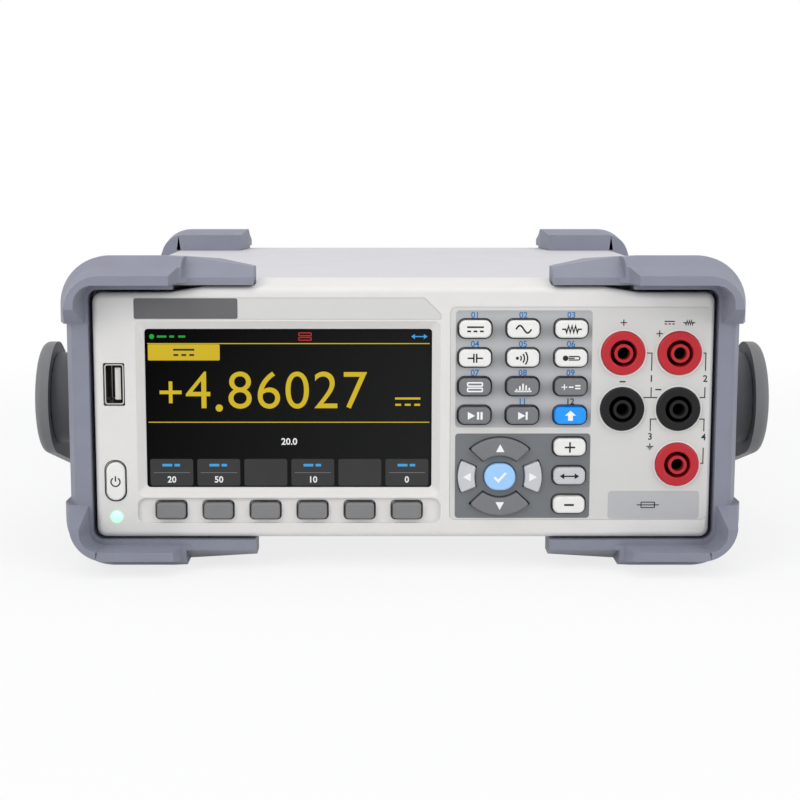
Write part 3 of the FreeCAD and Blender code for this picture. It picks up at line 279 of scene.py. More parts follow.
@dataclass(frozen=True)
class Panel:
    """A printed area with round corners on the front film.

    Attributes:
        left: Its left edge.
        right: Its right edge.
        low: Its lower edge.
        high: Its upper edge.
        corner: Radius of its corners.
    """

    left: float
    right: float
    low: float
    high: float
    corner: float = 1.2 * MM

    def mask(self, tree: bpy.types.NodeTree,
             place: bpy.types.NodeSocket) -> bpy.types.NodeSocket:
        """Adds nodes that are 1 inside the area and 0 outside it.

        Args:
            tree: Node tree of the material.
            place: Position on the object.

        Returns:
            Socket that gives the mask.
        """
        half = ((self.right - self.left) / 2 - self.corner,
                (self.high - self.low) / 2 - self.corner)
        centre = ((self.left + self.right) / 2, (self.low + self.high) / 2)
        steps = (("MULTIPLY", (1, 0, 1)), ("SUBTRACT", (centre[0], 0, centre[1])),
                 ("ABSOLUTE", None), ("SUBTRACT", (half[0], 0, half[1])), ("MAXIMUM", (0, 0, 0)))
        value = place
        for operation, other in steps:
            node = tree.nodes.new("ShaderNodeVectorMath")
            node.operation = operation
            tree.links.new(value, node.inputs[0])
            if other is not None:
                node.inputs[1].default_value = other
            value = node.outputs["Vector"]
        length = tree.nodes.new("ShaderNodeVectorMath")
        length.operation = "LENGTH"
        tree.links.new(value, length.inputs[0])
        return add_maths(tree, "LESS_THAN", length.outputs["Value"], float(self.corner))


@dataclass(frozen=True)
class FilmFinish(Finish):
    """The printed film: pale, with a grey field behind the keys, banded with painted shade, and a
    dark one below it.

    Attributes:
        upper: Field behind the function keys.
        lower: Field behind the direction pad.
        label: Small field under the jacks.
        row_z: Height of the lowest row of function keys, where a band of painted shade is darkest.
        row_pitch: Distance between rows, and so between the bands of painted shade.
    """

    upper: Panel = Panel(0, 0, 0, 0)
    lower: Panel = Panel(0, 0, 0, 0)
    label: Panel = Panel(0, 0, 0, 0)
    row_z: float = 0.0
    row_pitch: float = 0.01

    def paint(self, tree: bpy.types.NodeTree, shader: bpy.types.Node,
              place: bpy.types.NodeSocket) -> None:
        """Wires the pale ground and the printed fields over it, with painted shade in bands on the
        upper one.

        Args:
            tree: Node tree of the material.
            shader: Its shader.
            place: Position on the object.
        """
        # painted shade: the upper field's grey darkens in soft bands, darkest at each row of keys,
        # where the keys shade the film
        split = tree.nodes.new("ShaderNodeSeparateXYZ")
        tree.links.new(place, split.inputs["Vector"])
        along = add_maths(tree, "SUBTRACT", split.outputs["Z"], float(self.row_z))
        turned = add_maths(tree, "MULTIPLY", along, float(2 * math.pi / self.row_pitch))
        wave = add_maths(tree, "COSINE", turned)
        share = add_maths(tree, "MULTIPLY_ADD", wave, 0.5)
        share.node.inputs[2].default_value = 0.5
        field_with_painted_shade = add_mix(tree, share, linear(176, 177, 179), linear(141, 142, 144))
        shown = self.mottled(tree, place, self.colour)
        for panel, ink in ((self.upper, field_with_painted_shade), (self.lower, linear(113, 116, 119)),
                           (self.label, linear(182, 182, 184))):
            shown = add_mix(tree, panel.mask(tree, place), shown, ink)
        tree.links.new(shown, shader.inputs["Base Color"])


@dataclass(frozen=True)
class SheenFinish(Finish):
    """The dark display window, with a painted reflection that makes it a little paler towards its
    lower right.

    Attributes:
        far_colour: Colour that the surface reaches where the painted reflection is strongest.
        start: Place where the change begins, as X and Z.
        end: Place where it ends.
    """

    far_colour: Colour = (0.01, 0.01, 0.01)
    start: Point = (0.0, 0.0)
    end: Point = (1.0, 1.0)

    def paint(self, tree: bpy.types.NodeTree, shader: bpy.types.Node,
              place: bpy.types.NodeSocket) -> None:
        """Wires a slow change of colour from one corner to the other, which paints a reflection.

        Args:
            tree: Node tree of the material.
            shader: Its shader.
            place: Position on the object.
        """
        way = Vector((self.end[0] - self.start[0], 0, self.end[1] - self.start[1]))
        dot = tree.nodes.new("ShaderNodeVectorMath")
        dot.operation = "DOT_PRODUCT"
        dot.inputs[1].default_value = way / way.length_squared
        tree.links.new(place, dot.inputs[0])
        base = Vector((self.start[0], 0, self.start[1])).dot(way) / way.length_squared
        share = add_maths(tree, "SUBTRACT", dot.outputs["Value"], float(base))
        share.node.use_clamp = True
        tree.links.new(add_mix(tree, share, self.colour, self.far_colour),
                       shader.inputs["Base Color"])


class Look(Enum):
    """Every plain finish on the instrument."""

    COVER = Finish("cover_paint", linear(205, 203, 208), 0.5, 0.35, 0.55 * MM, 0.02)
    REAR = Finish("rear_paint", linear(190, 189, 192), 0.55, 0.35, 0.55 * MM, 0.03)
    TRAY = Finish("tray_plating", linear(188, 189, 190), 0.38, 0.1, 0.8 * MM, 0.06, 1.0)
    BEZEL = Finish("bezel_moulding", linear(222, 220, 218), 0.42, 0.14, 0.35 * MM, 0.015)
    BUMPER = Finish("bumper_elastomer", linear(133, 135, 149), 0.55, 0.3, 0.4 * MM, 0.035)
    HANDLE = Finish("handle_moulding", linear(122, 122, 123), 0.5, 0.3, 0.45 * MM, 0.05)
    GRIP = Finish("grip_elastomer", linear(96, 97, 99), 0.7, 0.5, 0.5 * MM, 0.07)
    HUB = Finish("hub_moulding", linear(84, 85, 87), 0.55, 0.3, 0.45 * MM, 0.05)
    SOFT_KEY = Finish("soft_key_silicone", linear(126, 126, 127), 0.5, 0.18, 0.3 * MM, 0.03)
    WHITE_KEY = Finish("white_silicone", linear(232, 231, 228), 0.48, 0.15, 0.3 * MM, 0.015)
    GREY_KEY = Finish("dark_silicone", linear(118, 119, 122), 0.48, 0.18, 0.3 * MM, 0.03)
    LIGHT_KEY = Finish("pale_silicone", linear(196, 198, 201), 0.48, 0.15, 0.3 * MM, 0.02)
    BLUE_KEY = Finish("lit_blue_silicone", linear(30, 146, 238), 0.4, 0.1, 0.3 * MM, 0.02,
                      glow=0.08)
    OK_KEY = Finish("sky_silicone", linear(158, 203, 247), 0.42, 0.1, 0.3 * MM, 0.02)
    RED_JACK = Finish("red_nylon", linear(184, 32, 44), 0.36, 0.1, 0.3 * MM, 0.04, coat=0.06)
    BLACK_JACK = Finish("black_nylon", linear(27, 27, 28), 0.38, 0.1, 0.3 * MM, 0.06, specular=0.2)
    # painted shade: the contacts are darkened to near black, as they look deep inside the jack
    # bores
    CONTACT = Finish("contact_painted_shade", linear(66, 60, 50), 0.45, 0.05, 0.3 * MM, 0.06, 1.0)
    STEEL = Finish("shell_plating", linear(196, 194, 190), 0.28, 0.05, 0.4 * MM, 0.05, 1.0)
    SCREW = Finish("screw_plating", linear(170, 170, 172), 0.35, 0.1, 0.3 * MM, 0.06, 1.0)
    CONNECTOR = Finish("connector_nickel", linear(198, 196, 190), 0.25, 0.05, 0.4 * MM, 0.05, 1.0)
    TONGUE = Finish("tongue_moulding", linear(222, 219, 214), 0.45, 0.1, 0.3 * MM, 0.02)
    DARK = Finish("black_moulding", linear(36, 36, 38), 0.5, 0.3, 0.4 * MM, 0.06)
    SELECTOR = Finish("selector_moulding", linear(176, 40, 44), 0.45, 0.2, 0.3 * MM, 0.04)
    BOARD = Finish("board_laminate", linear(34, 96, 58), 0.4, 0.15, 0.6 * MM, 0.12, coat=0.3)
    IRON = Finish("core_varnish", linear(74, 72, 74), 0.5, 0.3, 0.6 * MM, 0.12)
    LAMP = Finish("lamp_lens", linear(150, 245, 176), 0.25, 0.0, 0.3 * MM, 0.02, glow=1.4)
    BADGE = Finish("badge_grey", linear(100, 99, 101), 0.4, 0.05, 0.3 * MM, 0.03)


class Ink(Enum):
    """Printing inks, and the lit colours of the display."""

    BLACK = Finish("ink_black", linear(24, 24, 26), 0.5, 0.0, 0.3 * MM, 0.04)
    WHITE = Finish("ink_white", linear(240, 240, 240), 0.5, 0.0, 0.3 * MM, 0.02)
    BLUE = Finish("ink_blue", linear(24, 118, 186), 0.5, 0.0, 0.3 * MM, 0.03)
    RING = Finish("ink_ring", linear(236, 236, 234), 0.5, 0.0, 0.3 * MM, 0.02)
    YELLOW_LIT = LitFinish("lit_yellow", linear(206, 178, 36))
    WHITE_LIT = LitFinish("lit_white", linear(236, 238, 236))
    BLUE_LIT = LitFinish("lit_blue", linear(66, 160, 222))
    GREEN_LIT = LitFinish("lit_green", linear(20, 164, 52))
    RED_LIT = LitFinish("lit_red", linear(178, 44, 44))
    TILE = LitFinish("lit_tile", linear(58, 58, 59), 0.4, mottle=0.05)
    RULE = LitFinish("lit_rule", linear(124, 124, 124))


def dress(node: str, finish: Finish) -> None:
    """Gives one CAD node its finish.

    Args:
        node: Name of the node.
        finish: Finish that it takes.
    """
    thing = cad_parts[node]
    thing.data.materials.clear()
    thing.data.materials.append(finish.material())
    LOG.info("node %s: %s", node, finish.name)


def place_piece(name: str, data: bpy.types.Mesh | bpy.types.Curve, body: str,
                at: tuple[float, float, float] | Vector = (0, 0, 0),
                turn: tuple[float, float, float] = (0, 0, 0)) -> bpy.types.Object:
    """Adds a piece to the scene and ties it to a body.

    Args:
        name: Name of the piece.
        data: Its shape.
        body: Body that it rides on.
        at: Where its origin goes.
        turn: Its turn about the three axes, in radians.

    Returns:
        The piece.
    """
    piece = bpy.data.objects.new(name, data)
    bpy.context.scene.collection.objects.link(piece)
    piece.rotation_euler = turn
    piece.location = at
    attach(piece, body)
    LOG.info("piece %s on %s", name, body)
    return piece


def soften(node: str, width: float, segments: int = 2, angle: float = 40.0) -> None:
    """Rounds the sharp edges of a CAD node as a mould leaves them.

    Args:
        node: Name of the node.
        width: Width of the rounding.
        segments: Facets across it.
        angle: Edges sharper than this, in degrees, are rounded.
    """
    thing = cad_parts[node]
    weld = thing.modifiers.new("weld", "WELD")
    weld.merge_threshold = 0.002 * MM
    bevel = thing.modifiers.new("edge", "BEVEL")
    bevel.width = width
    bevel.segments = segments
    bevel.limit_method = "ANGLE"
    bevel.angle_limit = math.radians(angle)
    bevel.use_clamp_overlap = True
    bevel.harden_normals = True
    shade = thing.modifiers.new("shade", "WEIGHTED_NORMAL")
    shade.keep_sharp = True


# ---- drawing ----------------------------------------------------------------------------


def arc(centre: Point, radius: float, start: float, end: float, steps: int = 12) -> list[Point]:
    """Points along an arc.

    Args:
        centre: Centre of the arc.
        radius: Its radius.
        start: Angle at which it starts, in degrees.
        end: Angle at which it ends, in degrees.
        steps: Straight steps along it.

    Returns:
        The points, both ends among them.
    """
    return [(centre[0] + radius * math.cos(math.radians(start + (end - start) * i / steps)),
             centre[1] + radius * math.sin(math.radians(start + (end - start) * i / steps)))
            for i in range(steps + 1)]


def rounded_box(width: float, height: float, corner: float) -> list[Point]:
    """The outline of a box with round corners about its centre.

    Args:
        width: Its width.
        height: Its height.
        corner: Radius of its corners.

    Returns:
        Its outline, anticlockwise.
    """
    dx, dy = width / 2 - corner, height / 2 - corner
    outline: list[Point] = []
    for turn, centre in enumerate(((dx, dy), (-dx, dy), (-dx, -dy), (dx, -dy))):
        outline += arc(centre, corner, 90 * turn, 90 * turn + 90, 6)
    return outline


@dataclass
class Drawing:
    """Flat marks in millimetres about a centre, which become thin raised ink on a front face.

    Attributes:
        stroke: Width of the lines.
        fills: Outlines that are filled.
        lines: Lines, each with whether it closes on itself.
    """

    stroke: float = 0.35
    fills: list[list[Point]] = field(default_factory=list)
    lines: list[tuple[list[Point], bool]] = field(default_factory=list)

    def fill(self, outline: Sequence[Point]) -> "Drawing":
        """Adds a filled outline."""
        self.fills.append(list(outline))
        return self

    def line(self, points: Sequence[Point], closed: bool = False) -> "Drawing":
        """Adds a line."""
        self.lines.append((list(points), closed))
        return self

    def sized(self, scale: float, weight: float) -> "Drawing":
        """A copy at another size.

        Args:
            scale: Size against this one.
            weight: Width of the strokes against this one.

        Returns:
            The copy.
        """
        return Drawing(self.stroke * weight,
                       [[(x * scale, z * scale) for x, z in loop] for loop in self.fills],
                       [([(x * scale, z * scale) for x, z in line], closed)
                        for line, closed in self.lines])

    def mesh(self, name: str, at: Vector, finish: Finish, body: str,
             flip: bool = False) -> bpy.types.Object:
        """Makes the marks as one thin mesh that rides on a body.

        Args:
            name: Name of the piece.
            at: Centre of the marks, on the face that carries them.
            finish: Ink.
            body: Body that the piece rides on.
            flip: Whether the face looks to the rear.

        Returns:
            The piece.
        """
        shape = bmesh.new()
        for outline in self.fills:
            self.raise_loops(shape, [outline])
        for points, closed in self.lines:
            self.raise_loops(shape, self.edges_of(points, closed))
        side = -1 if flip else 1
        for vertex in shape.verts:
            x, y, z = vertex.co
            vertex.co = Vector((x * side, -y * side, z)) * MM + at
        bmesh.ops.recalc_face_normals(shape, faces=shape.faces)
        data = bpy.data.meshes.new(name)
        shape.to_mesh(data)
        shape.free()
        data.materials.append(finish.material())
        return place_piece(name, data, body)

    def edges_of(self, points: list[Point], closed: bool) -> list[list[Point]]:
        """The outline of a line that has its width.

        Args:
            points: Middle of the line.
            closed: Whether it closes on itself.

        Returns:
            One loop, or an outer and an inner one for a line that closes on itself.
        """
        half = self.stroke / 2
        count = len(points)
        sides: list[list[Point]] = [[], []]
        for i, (x, z) in enumerate(points):
            before = Vector(points[i - 1]) if closed or i else Vector(points[0])
            after = Vector(points[(i + 1) % count]) if closed or i < count - 1 else Vector((x, z))
            here = Vector((x, z))
            first = (here - before).normalized() if (here - before).length else None
            second = (after - here).normalized() if (after - here).length else None
            first, second = first or second, second or first
            bisector = (first + second).normalized() if (first + second).length else first
            normal = Vector((-bisector.y, bisector.x))
            reach = half / max(0.35, abs(normal.dot(Vector((-first.y, first.x)))))
            sides[0].append(tuple(here + normal * reach))
            sides[1].append(tuple(here - normal * reach))
        if closed:
            return sides
        return [sides[0] + sides[1][::-1]]

    @staticmethod
    def raise_loops(shape: bmesh.types.BMesh, loops: list[list[Point]]) -> None:
        """Turns one outline, or a pair of matching loops, into a closed thin solid.

        Args:
            shape: Mesh that takes the solid.
            loops: One outline, or an outer and an inner loop with as many points.
        """
        thick = INK_PROUD / MM
        rings = [[[shape.verts.new((x, level, z)) for x, z in loop] for level in (0, thick)]
                 for loop in loops]
        count = len(loops[0])
        for ring in rings:
            for i in range(count):
                nxt = (i + 1) % count
                shape.faces.new((ring[0][i], ring[0][nxt], ring[1][nxt], ring[1][i]))
        for level in (0, 1):
            if len(rings) == 1:
                shape.faces.new(rings[0][level])
                continue
            for i in range(count):
                nxt = (i + 1) % count
                shape.faces.new((rings[0][level][i], rings[0][level][nxt],
                                 rings[1][level][nxt], rings[1][level][i]))


class Glyph(Enum):
    """Plain signs of electronics and of controls."""

    DIRECT = "direct"
    ALTERNATING = "alternating"
    RESISTOR = "resistor"
    CAPACITOR = "capacitor"
    SOUNDER = "sounder"
    THERMOMETER = "thermometer"
    PAIR = "pair"
    SAMPLES = "samples"
    ARITHMETIC = "arithmetic"
    RUN = "run"
    ONCE = "once"
    SHIFTED = "shifted"
    PLUS = "plus"
    MINUS = "minus"
    SPAN = "span"
    POWER = "power"
    TICK = "tick"
    FUSE = "fuse"
    GROUND = "ground"

    def draw(self) -> Drawing:
        """The sign as marks about its centre."""
        return getattr(self, "_" + self.value)()

    def _direct(self) -> Drawing:
        """A line over three dashes.

        Returns:
            The sign.
        """
        pen = Drawing(0.42).line([(-2.4, 0.6), (2.4, 0.6)])
        for x in (-1.8, 0, 1.8):
            pen.line([(x - 0.55, -0.6), (x + 0.55, -0.6)])
        return pen

    def _alternating(self) -> Drawing:
        """One wave."""
        return Drawing(0.42).line([(-2.2 + 4.4 * i / 24, 1.05 * math.sin(2 * math.pi * i / 24))
                                   for i in range(25)])

    def _resistor(self) -> Drawing:
        """A zigzag with two leads."""
        teeth = [(-1.5 + 0.5 * i, 0.95 * (1 if i % 2 else -1)) for i in range(7)]
        return Drawing(0.38).line([(-2.8, 0), (-1.8, 0), *teeth, (1.8, 0), (2.8, 0)])

    def _capacitor(self) -> Drawing:
        """Two plates with leads.

        Returns:
            The sign.
        """
        pen = Drawing(0.38)
        for side in (-1, 1):
            pen.line([(0.4 * side, -1.3), (0.4 * side, 1.3)])
            pen.line([(0.4 * side, 0), (2.2 * side, 0)])
        return pen

    def _sounder(self) -> Drawing:
        """A dot and three arcs that leave it.

        Returns:
            The sign.
        """
        pen = Drawing(0.36).fill(arc((-1.7, 0), 0.45, 0, 360, 14)[:-1])
        for radius in (1.1, 2.0, 2.9):
            pen.line(arc((-1.7, 0), radius, -38, 38, 8))
        return pen

    def _thermometer(self) -> Drawing:
        """A bulb and a stem.

        Returns:
            The sign.
        """
        pen = Drawing(0.3).fill(arc((-1.7, 0), 0.8, 0, 360, 16)[:-1])
        pen.line([(-0.8, 0.5), (1.9, 0.5), *arc((1.9, 0), 0.5, 90, -90, 6)[1:], (-0.8, -0.5)])
        return pen.line([(-0.85, 0), (0.9, 0)])

    def _pair(self) -> Drawing:
        """Two boxes, one over the other.

        Returns:
            The sign.
        """
        pen = Drawing(0.36)
        for side in (-1, 1):
            pen.line([(x, z + 0.78 * side) for x, z in rounded_box(4.2, 0.95, 0.2)], True)
        return pen

    def _samples(self) -> Drawing:
        """Bars of a sampled wave.

        Returns:
            The sign.
        """
        pen = Drawing(0.4).line([(-2.4, -1.2), (2.4, -1.2)])
        for i, tall in enumerate((0.7, 1.5, 2.2, 1.7, 1.0)):
            x = -1.8 + 0.9 * i
            pen.line([(x, -1.2), (x, -1.2 + tall)])
        return pen

    def _arithmetic(self) -> Drawing:
        """A plus, a minus and an equals sign.

        Returns:
            The sign.
        """
        plus = [(x * 0.55 - 1.9, z * 0.55) for x, z in self._plus().fills[0]]
        pen = Drawing(0.36).fill(plus).line([(-0.6, 0), (0.7, 0)])
        return pen.line([(1.2, 0.4), (2.7, 0.4)]).line([(1.2, -0.4), (2.7, -0.4)])

    def _run(self) -> Drawing:
        """A triangle and two bars."""
        pen = Drawing(0.55).fill([(-2.0, -1.15), (0.1, 0), (-2.0, 1.15)])
        return pen.line([(0.95, -1.1), (0.95, 1.1)]).line([(1.95, -1.1), (1.95, 1.1)])

    def _once(self) -> Drawing:
        """A triangle that meets a bar."""
        pen = Drawing(0.5).fill([(-1.3, -1.15), (0.8, 0), (-1.3, 1.15)])
        return pen.line([(1.15, -1.15), (1.15, 1.15)])

    def _shifted(self) -> Drawing:
        """A broad arrow that points up."""
        return Drawing().fill([(0, 1.5), (-1.6, 0.05), (-0.7, 0.05), (-0.7, -1.4), (0.7, -1.4),
                               (0.7, 0.05), (1.6, 0.05)])

    def _plus(self) -> Drawing:
        """A plus sign.

        Returns:
            The sign.
        """
        reach, half = 1.5, 0.25
        return Drawing().fill([(half, half), (half, reach), (-half, reach), (-half, half),
                               (-reach, half), (-reach, -half), (-half, -half), (-half, -reach),
                               (half, -reach), (half, -half), (reach, -half), (reach, half)])

    def _minus(self) -> Drawing:
        """A minus sign."""
        return Drawing(0.5).line([(-1.4, 0), (1.4, 0)])

    def _span(self) -> Drawing:
        """A two-headed arrow.

        Returns:
            The sign.
        """
        pen = Drawing(0.36).line([(-1.8, 0), (1.8, 0)])
        for side in (-1, 1):
            pen.fill([(2.8 * side, 0), (1.5 * side, 0.85), (1.5 * side, -0.85)][::side])
        return pen

    def _power(self) -> Drawing:
        """A broken ring with a bar."""
        return Drawing(0.34).line(arc((0, -0.1), 1.3, 125, 415, 24)).line([(0, 0), (0, 1.6)])

    def _tick(self) -> Drawing:
        """A tick."""
        return Drawing(0.62).line([(-1.6, 0.0), (-0.5, -1.15), (1.7, 1.3)])

    def _ground(self) -> Drawing:
        """A lead over three shorter and shorter bars.

        Returns:
            The sign.
        """
        pen = Drawing(0.36).line([(0, 1.5), (0, 0)])
        for i, half in enumerate((1.6, 1.0, 0.4)):
            pen.line([(-half, -0.7 * i), (half, -0.7 * i)])
        return pen

    def _fuse(self) -> Drawing:
        """A box with a line through it."""
        return Drawing(0.34).line([(-3.8, 0), (3.8, 0)]).line(rounded_box(4.6, 1.9, 0.15), True)


def number_text(name: str, text: str, at: Vector, height: float, finish: Finish,
                body: str = CASE, flip: bool = False,
                weight: float = 0.025) -> bpy.types.Object:
    """Sets a plain number on a face.

    Args:
        name: Name of the piece.
        text: Digits to set.
        at: Centre of the number, on the face.
        height: Height of a digit.
        finish: Ink.
        body: Body that the piece rides on.
        flip: Whether the face looks to the rear.
        weight: How much fatter the strokes are, as a share of the height.

    Returns:
        The piece.
    """
    data = bpy.data.curves.new(name, "FONT")
    data.body = text
    data.align_x = "CENTER"
    data.align_y = "CENTER"
    data.size = height * 1.39
    data.extrude = INK_PROUD / 2
    data.offset = height * weight
    data.resolution_u = 3 if height < 4 * MM else 9
    data.materials.append(finish.material())
    middle = at + Vector((0, INK_PROUD / 2 * (1 if flip else -1), 0))
    return place_piece(name, data, body, middle, (math.pi / 2, 0, math.pi if flip else 0))


def film_face() -> float:
    """How far forward the printed film's face lies."""
    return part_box("label_films")[0].y


def face_of(node: str, rear: bool = False) -> Vector:
    """The middle of a node's front face, or of its rear face."""
    low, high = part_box(node)
    return Vector(((low.x + high.x) / 2, high.y if rear else low.y, (low.z + high.z) / 2))


# ---- sub-assemblies ---------------------------------------------------------------------


@dataclass
class Casing:
    """Cover, tray, rear panel and bezel.

    Attributes:
        bezel_round: Rounding of the bezel's small edges.
        sheet_round: Rounding of the panel screws' edges.
    """

    bezel_round: float = 0.35 * MM
    sheet_round: float = 0.25 * MM

    def build(self) -> None:
        """Dresses the shells."""
        for node, look in (("top_cover", Look.COVER), ("chassis_tray", Look.TRAY),
                           ("rear_panel", Look.REAR), ("front_bezel", Look.BEZEL),
                           ("panel_screws", Look.SCREW)):
            dress(node, look.value)
        soften("front_bezel", self.bezel_round)
        soften("panel_screws", self.sheet_round)


@dataclass
class Bumpers:
    """The four soft corner guards.

    Attributes:
        edge_round: Rounding of their edges.
    """

    edge_round: float = 0.8 * MM

    def build(self) -> None:
        """Dresses and rounds the guards."""
        for end in ("front", "rear"):
            for side in ("left", "right"):
                node = f"{end}_bumper_{side}"
                dress(node, Look.BUMPER.value)
                soften(node, self.edge_round, 3, 24.0)


@dataclass
class CarryHandle:
    """Arms, grip and hubs.

    Attributes:
        edge_round: Rounding of the arms' edges.
    """

    edge_round: float = 0.5 * MM

    def build(self) -> None:
        """Dresses the handle."""
        for node, look in (("handle_arm_left", Look.HANDLE), ("handle_arm_right", Look.HANDLE),
                           ("handle_grip", Look.GRIP), ("handle_hubs", Look.HUB)):
            dress(node, look.value)
            soften(node, self.edge_round)


@dataclass
class Keypad:
    """Every key and its legend.

    Attributes:
        edge_round: Rounding of a key's edges; not used.
        number_height: Height of the blue numbers over the keys.
        number_rise: Distance from a key's centre to the number over it.
        flange: How far a key's hidden flange reaches past its cap.
        gap_width: Width of the dark line of painted shade round a cap, in millimetres.
        gap_spare: Distance from a cap to the middle of that line, past half its width.
        gap_shift: Place of the line's centre against the key's, across and up, in millimetres.
        soft_corner: Corner radius of the line round a soft key, in millimetres.
        key_corner: The same round a function key.
        power_corner: The same round the power button.
        tray_depth: How far the soft keys' tray lies behind the bezel's face.
        arrow: Tip, half width and back of an arrow from its centre, in millimetres.
        sign_scale: Size of the signs on the keys against their drawings.
        sign_weight: Width of their strokes against their drawings.
        white_count: How many function keys are white, from the first.
        bare_number: The one function key with no number over it.
    """

    edge_round: float = 0.3 * MM
    number_height: float = 2.1 * MM
    number_rise: float = 4.55 * MM
    flange: float = 0.9 * MM
    gap_width: float = 0.34
    gap_spare: float = 0.3
    gap_shift: Point = (-0.08, 0.1)
    soft_corner: float = 1.5
    key_corner: float = 2.5
    power_corner: float = 3.3
    tray_depth: float = 1.2 * MM
    arrow: tuple[float, float, float] = (1.5, 1.45, 1.2)
    sign_scale: float = 1.18
    sign_weight: float = 1.35
    white_count: int = 6
    bare_number: int = 10

    def build(self) -> None:
        """Dresses the keys, marks them and numbers the film over them."""
        self.soft_keys()
        self.function_keys()
        self.pad()
        self.legend("key_plus", Glyph.PLUS, Look.WHITE_KEY, Ink.BLACK)
        self.legend("key_minus", Glyph.MINUS, Look.WHITE_KEY, Ink.BLACK)
        self.legend("key_range", Glyph.SPAN, Look.LIGHT_KEY, Ink.BLACK)
        self.legend("power_button", Glyph.POWER, Look.WHITE_KEY, Ink.BLACK)

    def soft_keys(self) -> None:
        """The row of blank keys under the display."""
        for i in range(1, 7):
            dress(f"soft_key_{i}", Look.SOFT_KEY.value)
            self.shadow_gap(f"soft_key_{i}", self.soft_corner, self.tray_depth)

    def shadow_gap(self, node: str, corner: float, depth: float = 0.0) -> None:
        """Paints shade in the gap round a key's cap, as a black ring on the film.

        Args:
            node: The key.
            corner: Radius of the gap's corners, in millimetres.
            depth: How far the surface round the key lies behind the bezel's face.
        """
        low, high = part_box(node)
        spare = self.gap_width / 2 + self.gap_spare
        wide = (high.x - low.x - 2 * self.flange) / MM + spare * 2
        tall = (high.z - low.z - 2 * self.flange) / MM + spare * 2
        at = face_of(node) + Vector((self.gap_shift[0], 0, self.gap_shift[1])) * MM
        at.y = film_face() + depth
        # painted shade: a black ring on the film, shifted up and to the left, stands for the shade
        # in the gap round the cap
        ring = Drawing(self.gap_width).line(rounded_box(wide, tall, corner), True)
        ring.mesh(f"{node}_gap", at, Ink.BLACK.value, CASE)

    def function_keys(self) -> None:
        """Four rows of three keys, with signs."""
        signs = (Glyph.DIRECT, Glyph.ALTERNATING, Glyph.RESISTOR, Glyph.CAPACITOR, Glyph.SOUNDER,
                 Glyph.THERMOMETER, Glyph.PAIR, Glyph.SAMPLES, Glyph.ARITHMETIC, Glyph.RUN,
                 Glyph.ONCE, Glyph.SHIFTED)
        film_y = film_face()
        for i, sign in enumerate(signs, 1):
            node = f"function_key_{i:02d}"
            look = Look.WHITE_KEY if i <= self.white_count else Look.GREY_KEY
            ink = Ink.BLACK if i <= self.white_count else Ink.WHITE
            if i == len(signs):
                look = Look.BLUE_KEY
            self.legend(node, sign, look, ink)
            if i != self.bare_number:
                over = face_of(node) + Vector((0, 0, self.number_rise))
                over.y = film_y
                number_text(f"key_number_{i:02d}", f"{i:02d}", over, self.number_height,
                            Ink.BLUE.value if i < len(signs) else Ink.BLACK.value)

    def pad(self) -> None:
        """The round OK key and the four arrows about it."""
        self.legend("key_ok", Glyph.TICK, Look.OK_KEY, Ink.WHITE)
        middle = face_of("key_ok")
        for way, look in (("up", Look.GREY_KEY), ("down", Look.GREY_KEY),
                          ("left", Look.LIGHT_KEY), ("right", Look.LIGHT_KEY)):
            node = f"key_{way}"
            dress(node, look.value)
            out = face_of(node) - middle
            out.y = 0
            out.normalize()
            across = Vector((-out.z, 0, out.x))
            ahead, half, back = self.arrow
            tip = [out * ahead, across * half - out * back, -across * half - out * back]
            pen = Drawing().fill([(p.x, p.z) for p in tip])
            pen.mesh(f"{node}_arrow", face_of(node), Ink.WHITE.value, node)

    def legend(self, node: str, sign: Glyph, look: Look, ink: Ink) -> None:
        """Dresses a key and puts its sign on it.

        Args:
            node: The key, which is also the name of its body.
            sign: Its sign.
            look: Its finish.
            ink: Ink of the sign.
        """
        dress(node, look.value)
        marks = sign.draw().sized(self.sign_scale, self.sign_weight)
        marks.mesh(f"{node}_sign", face_of(node), ink.value, node)
        if node != "key_ok":
            self.shadow_gap(node, self.power_corner if node == "power_button" else self.key_corner)


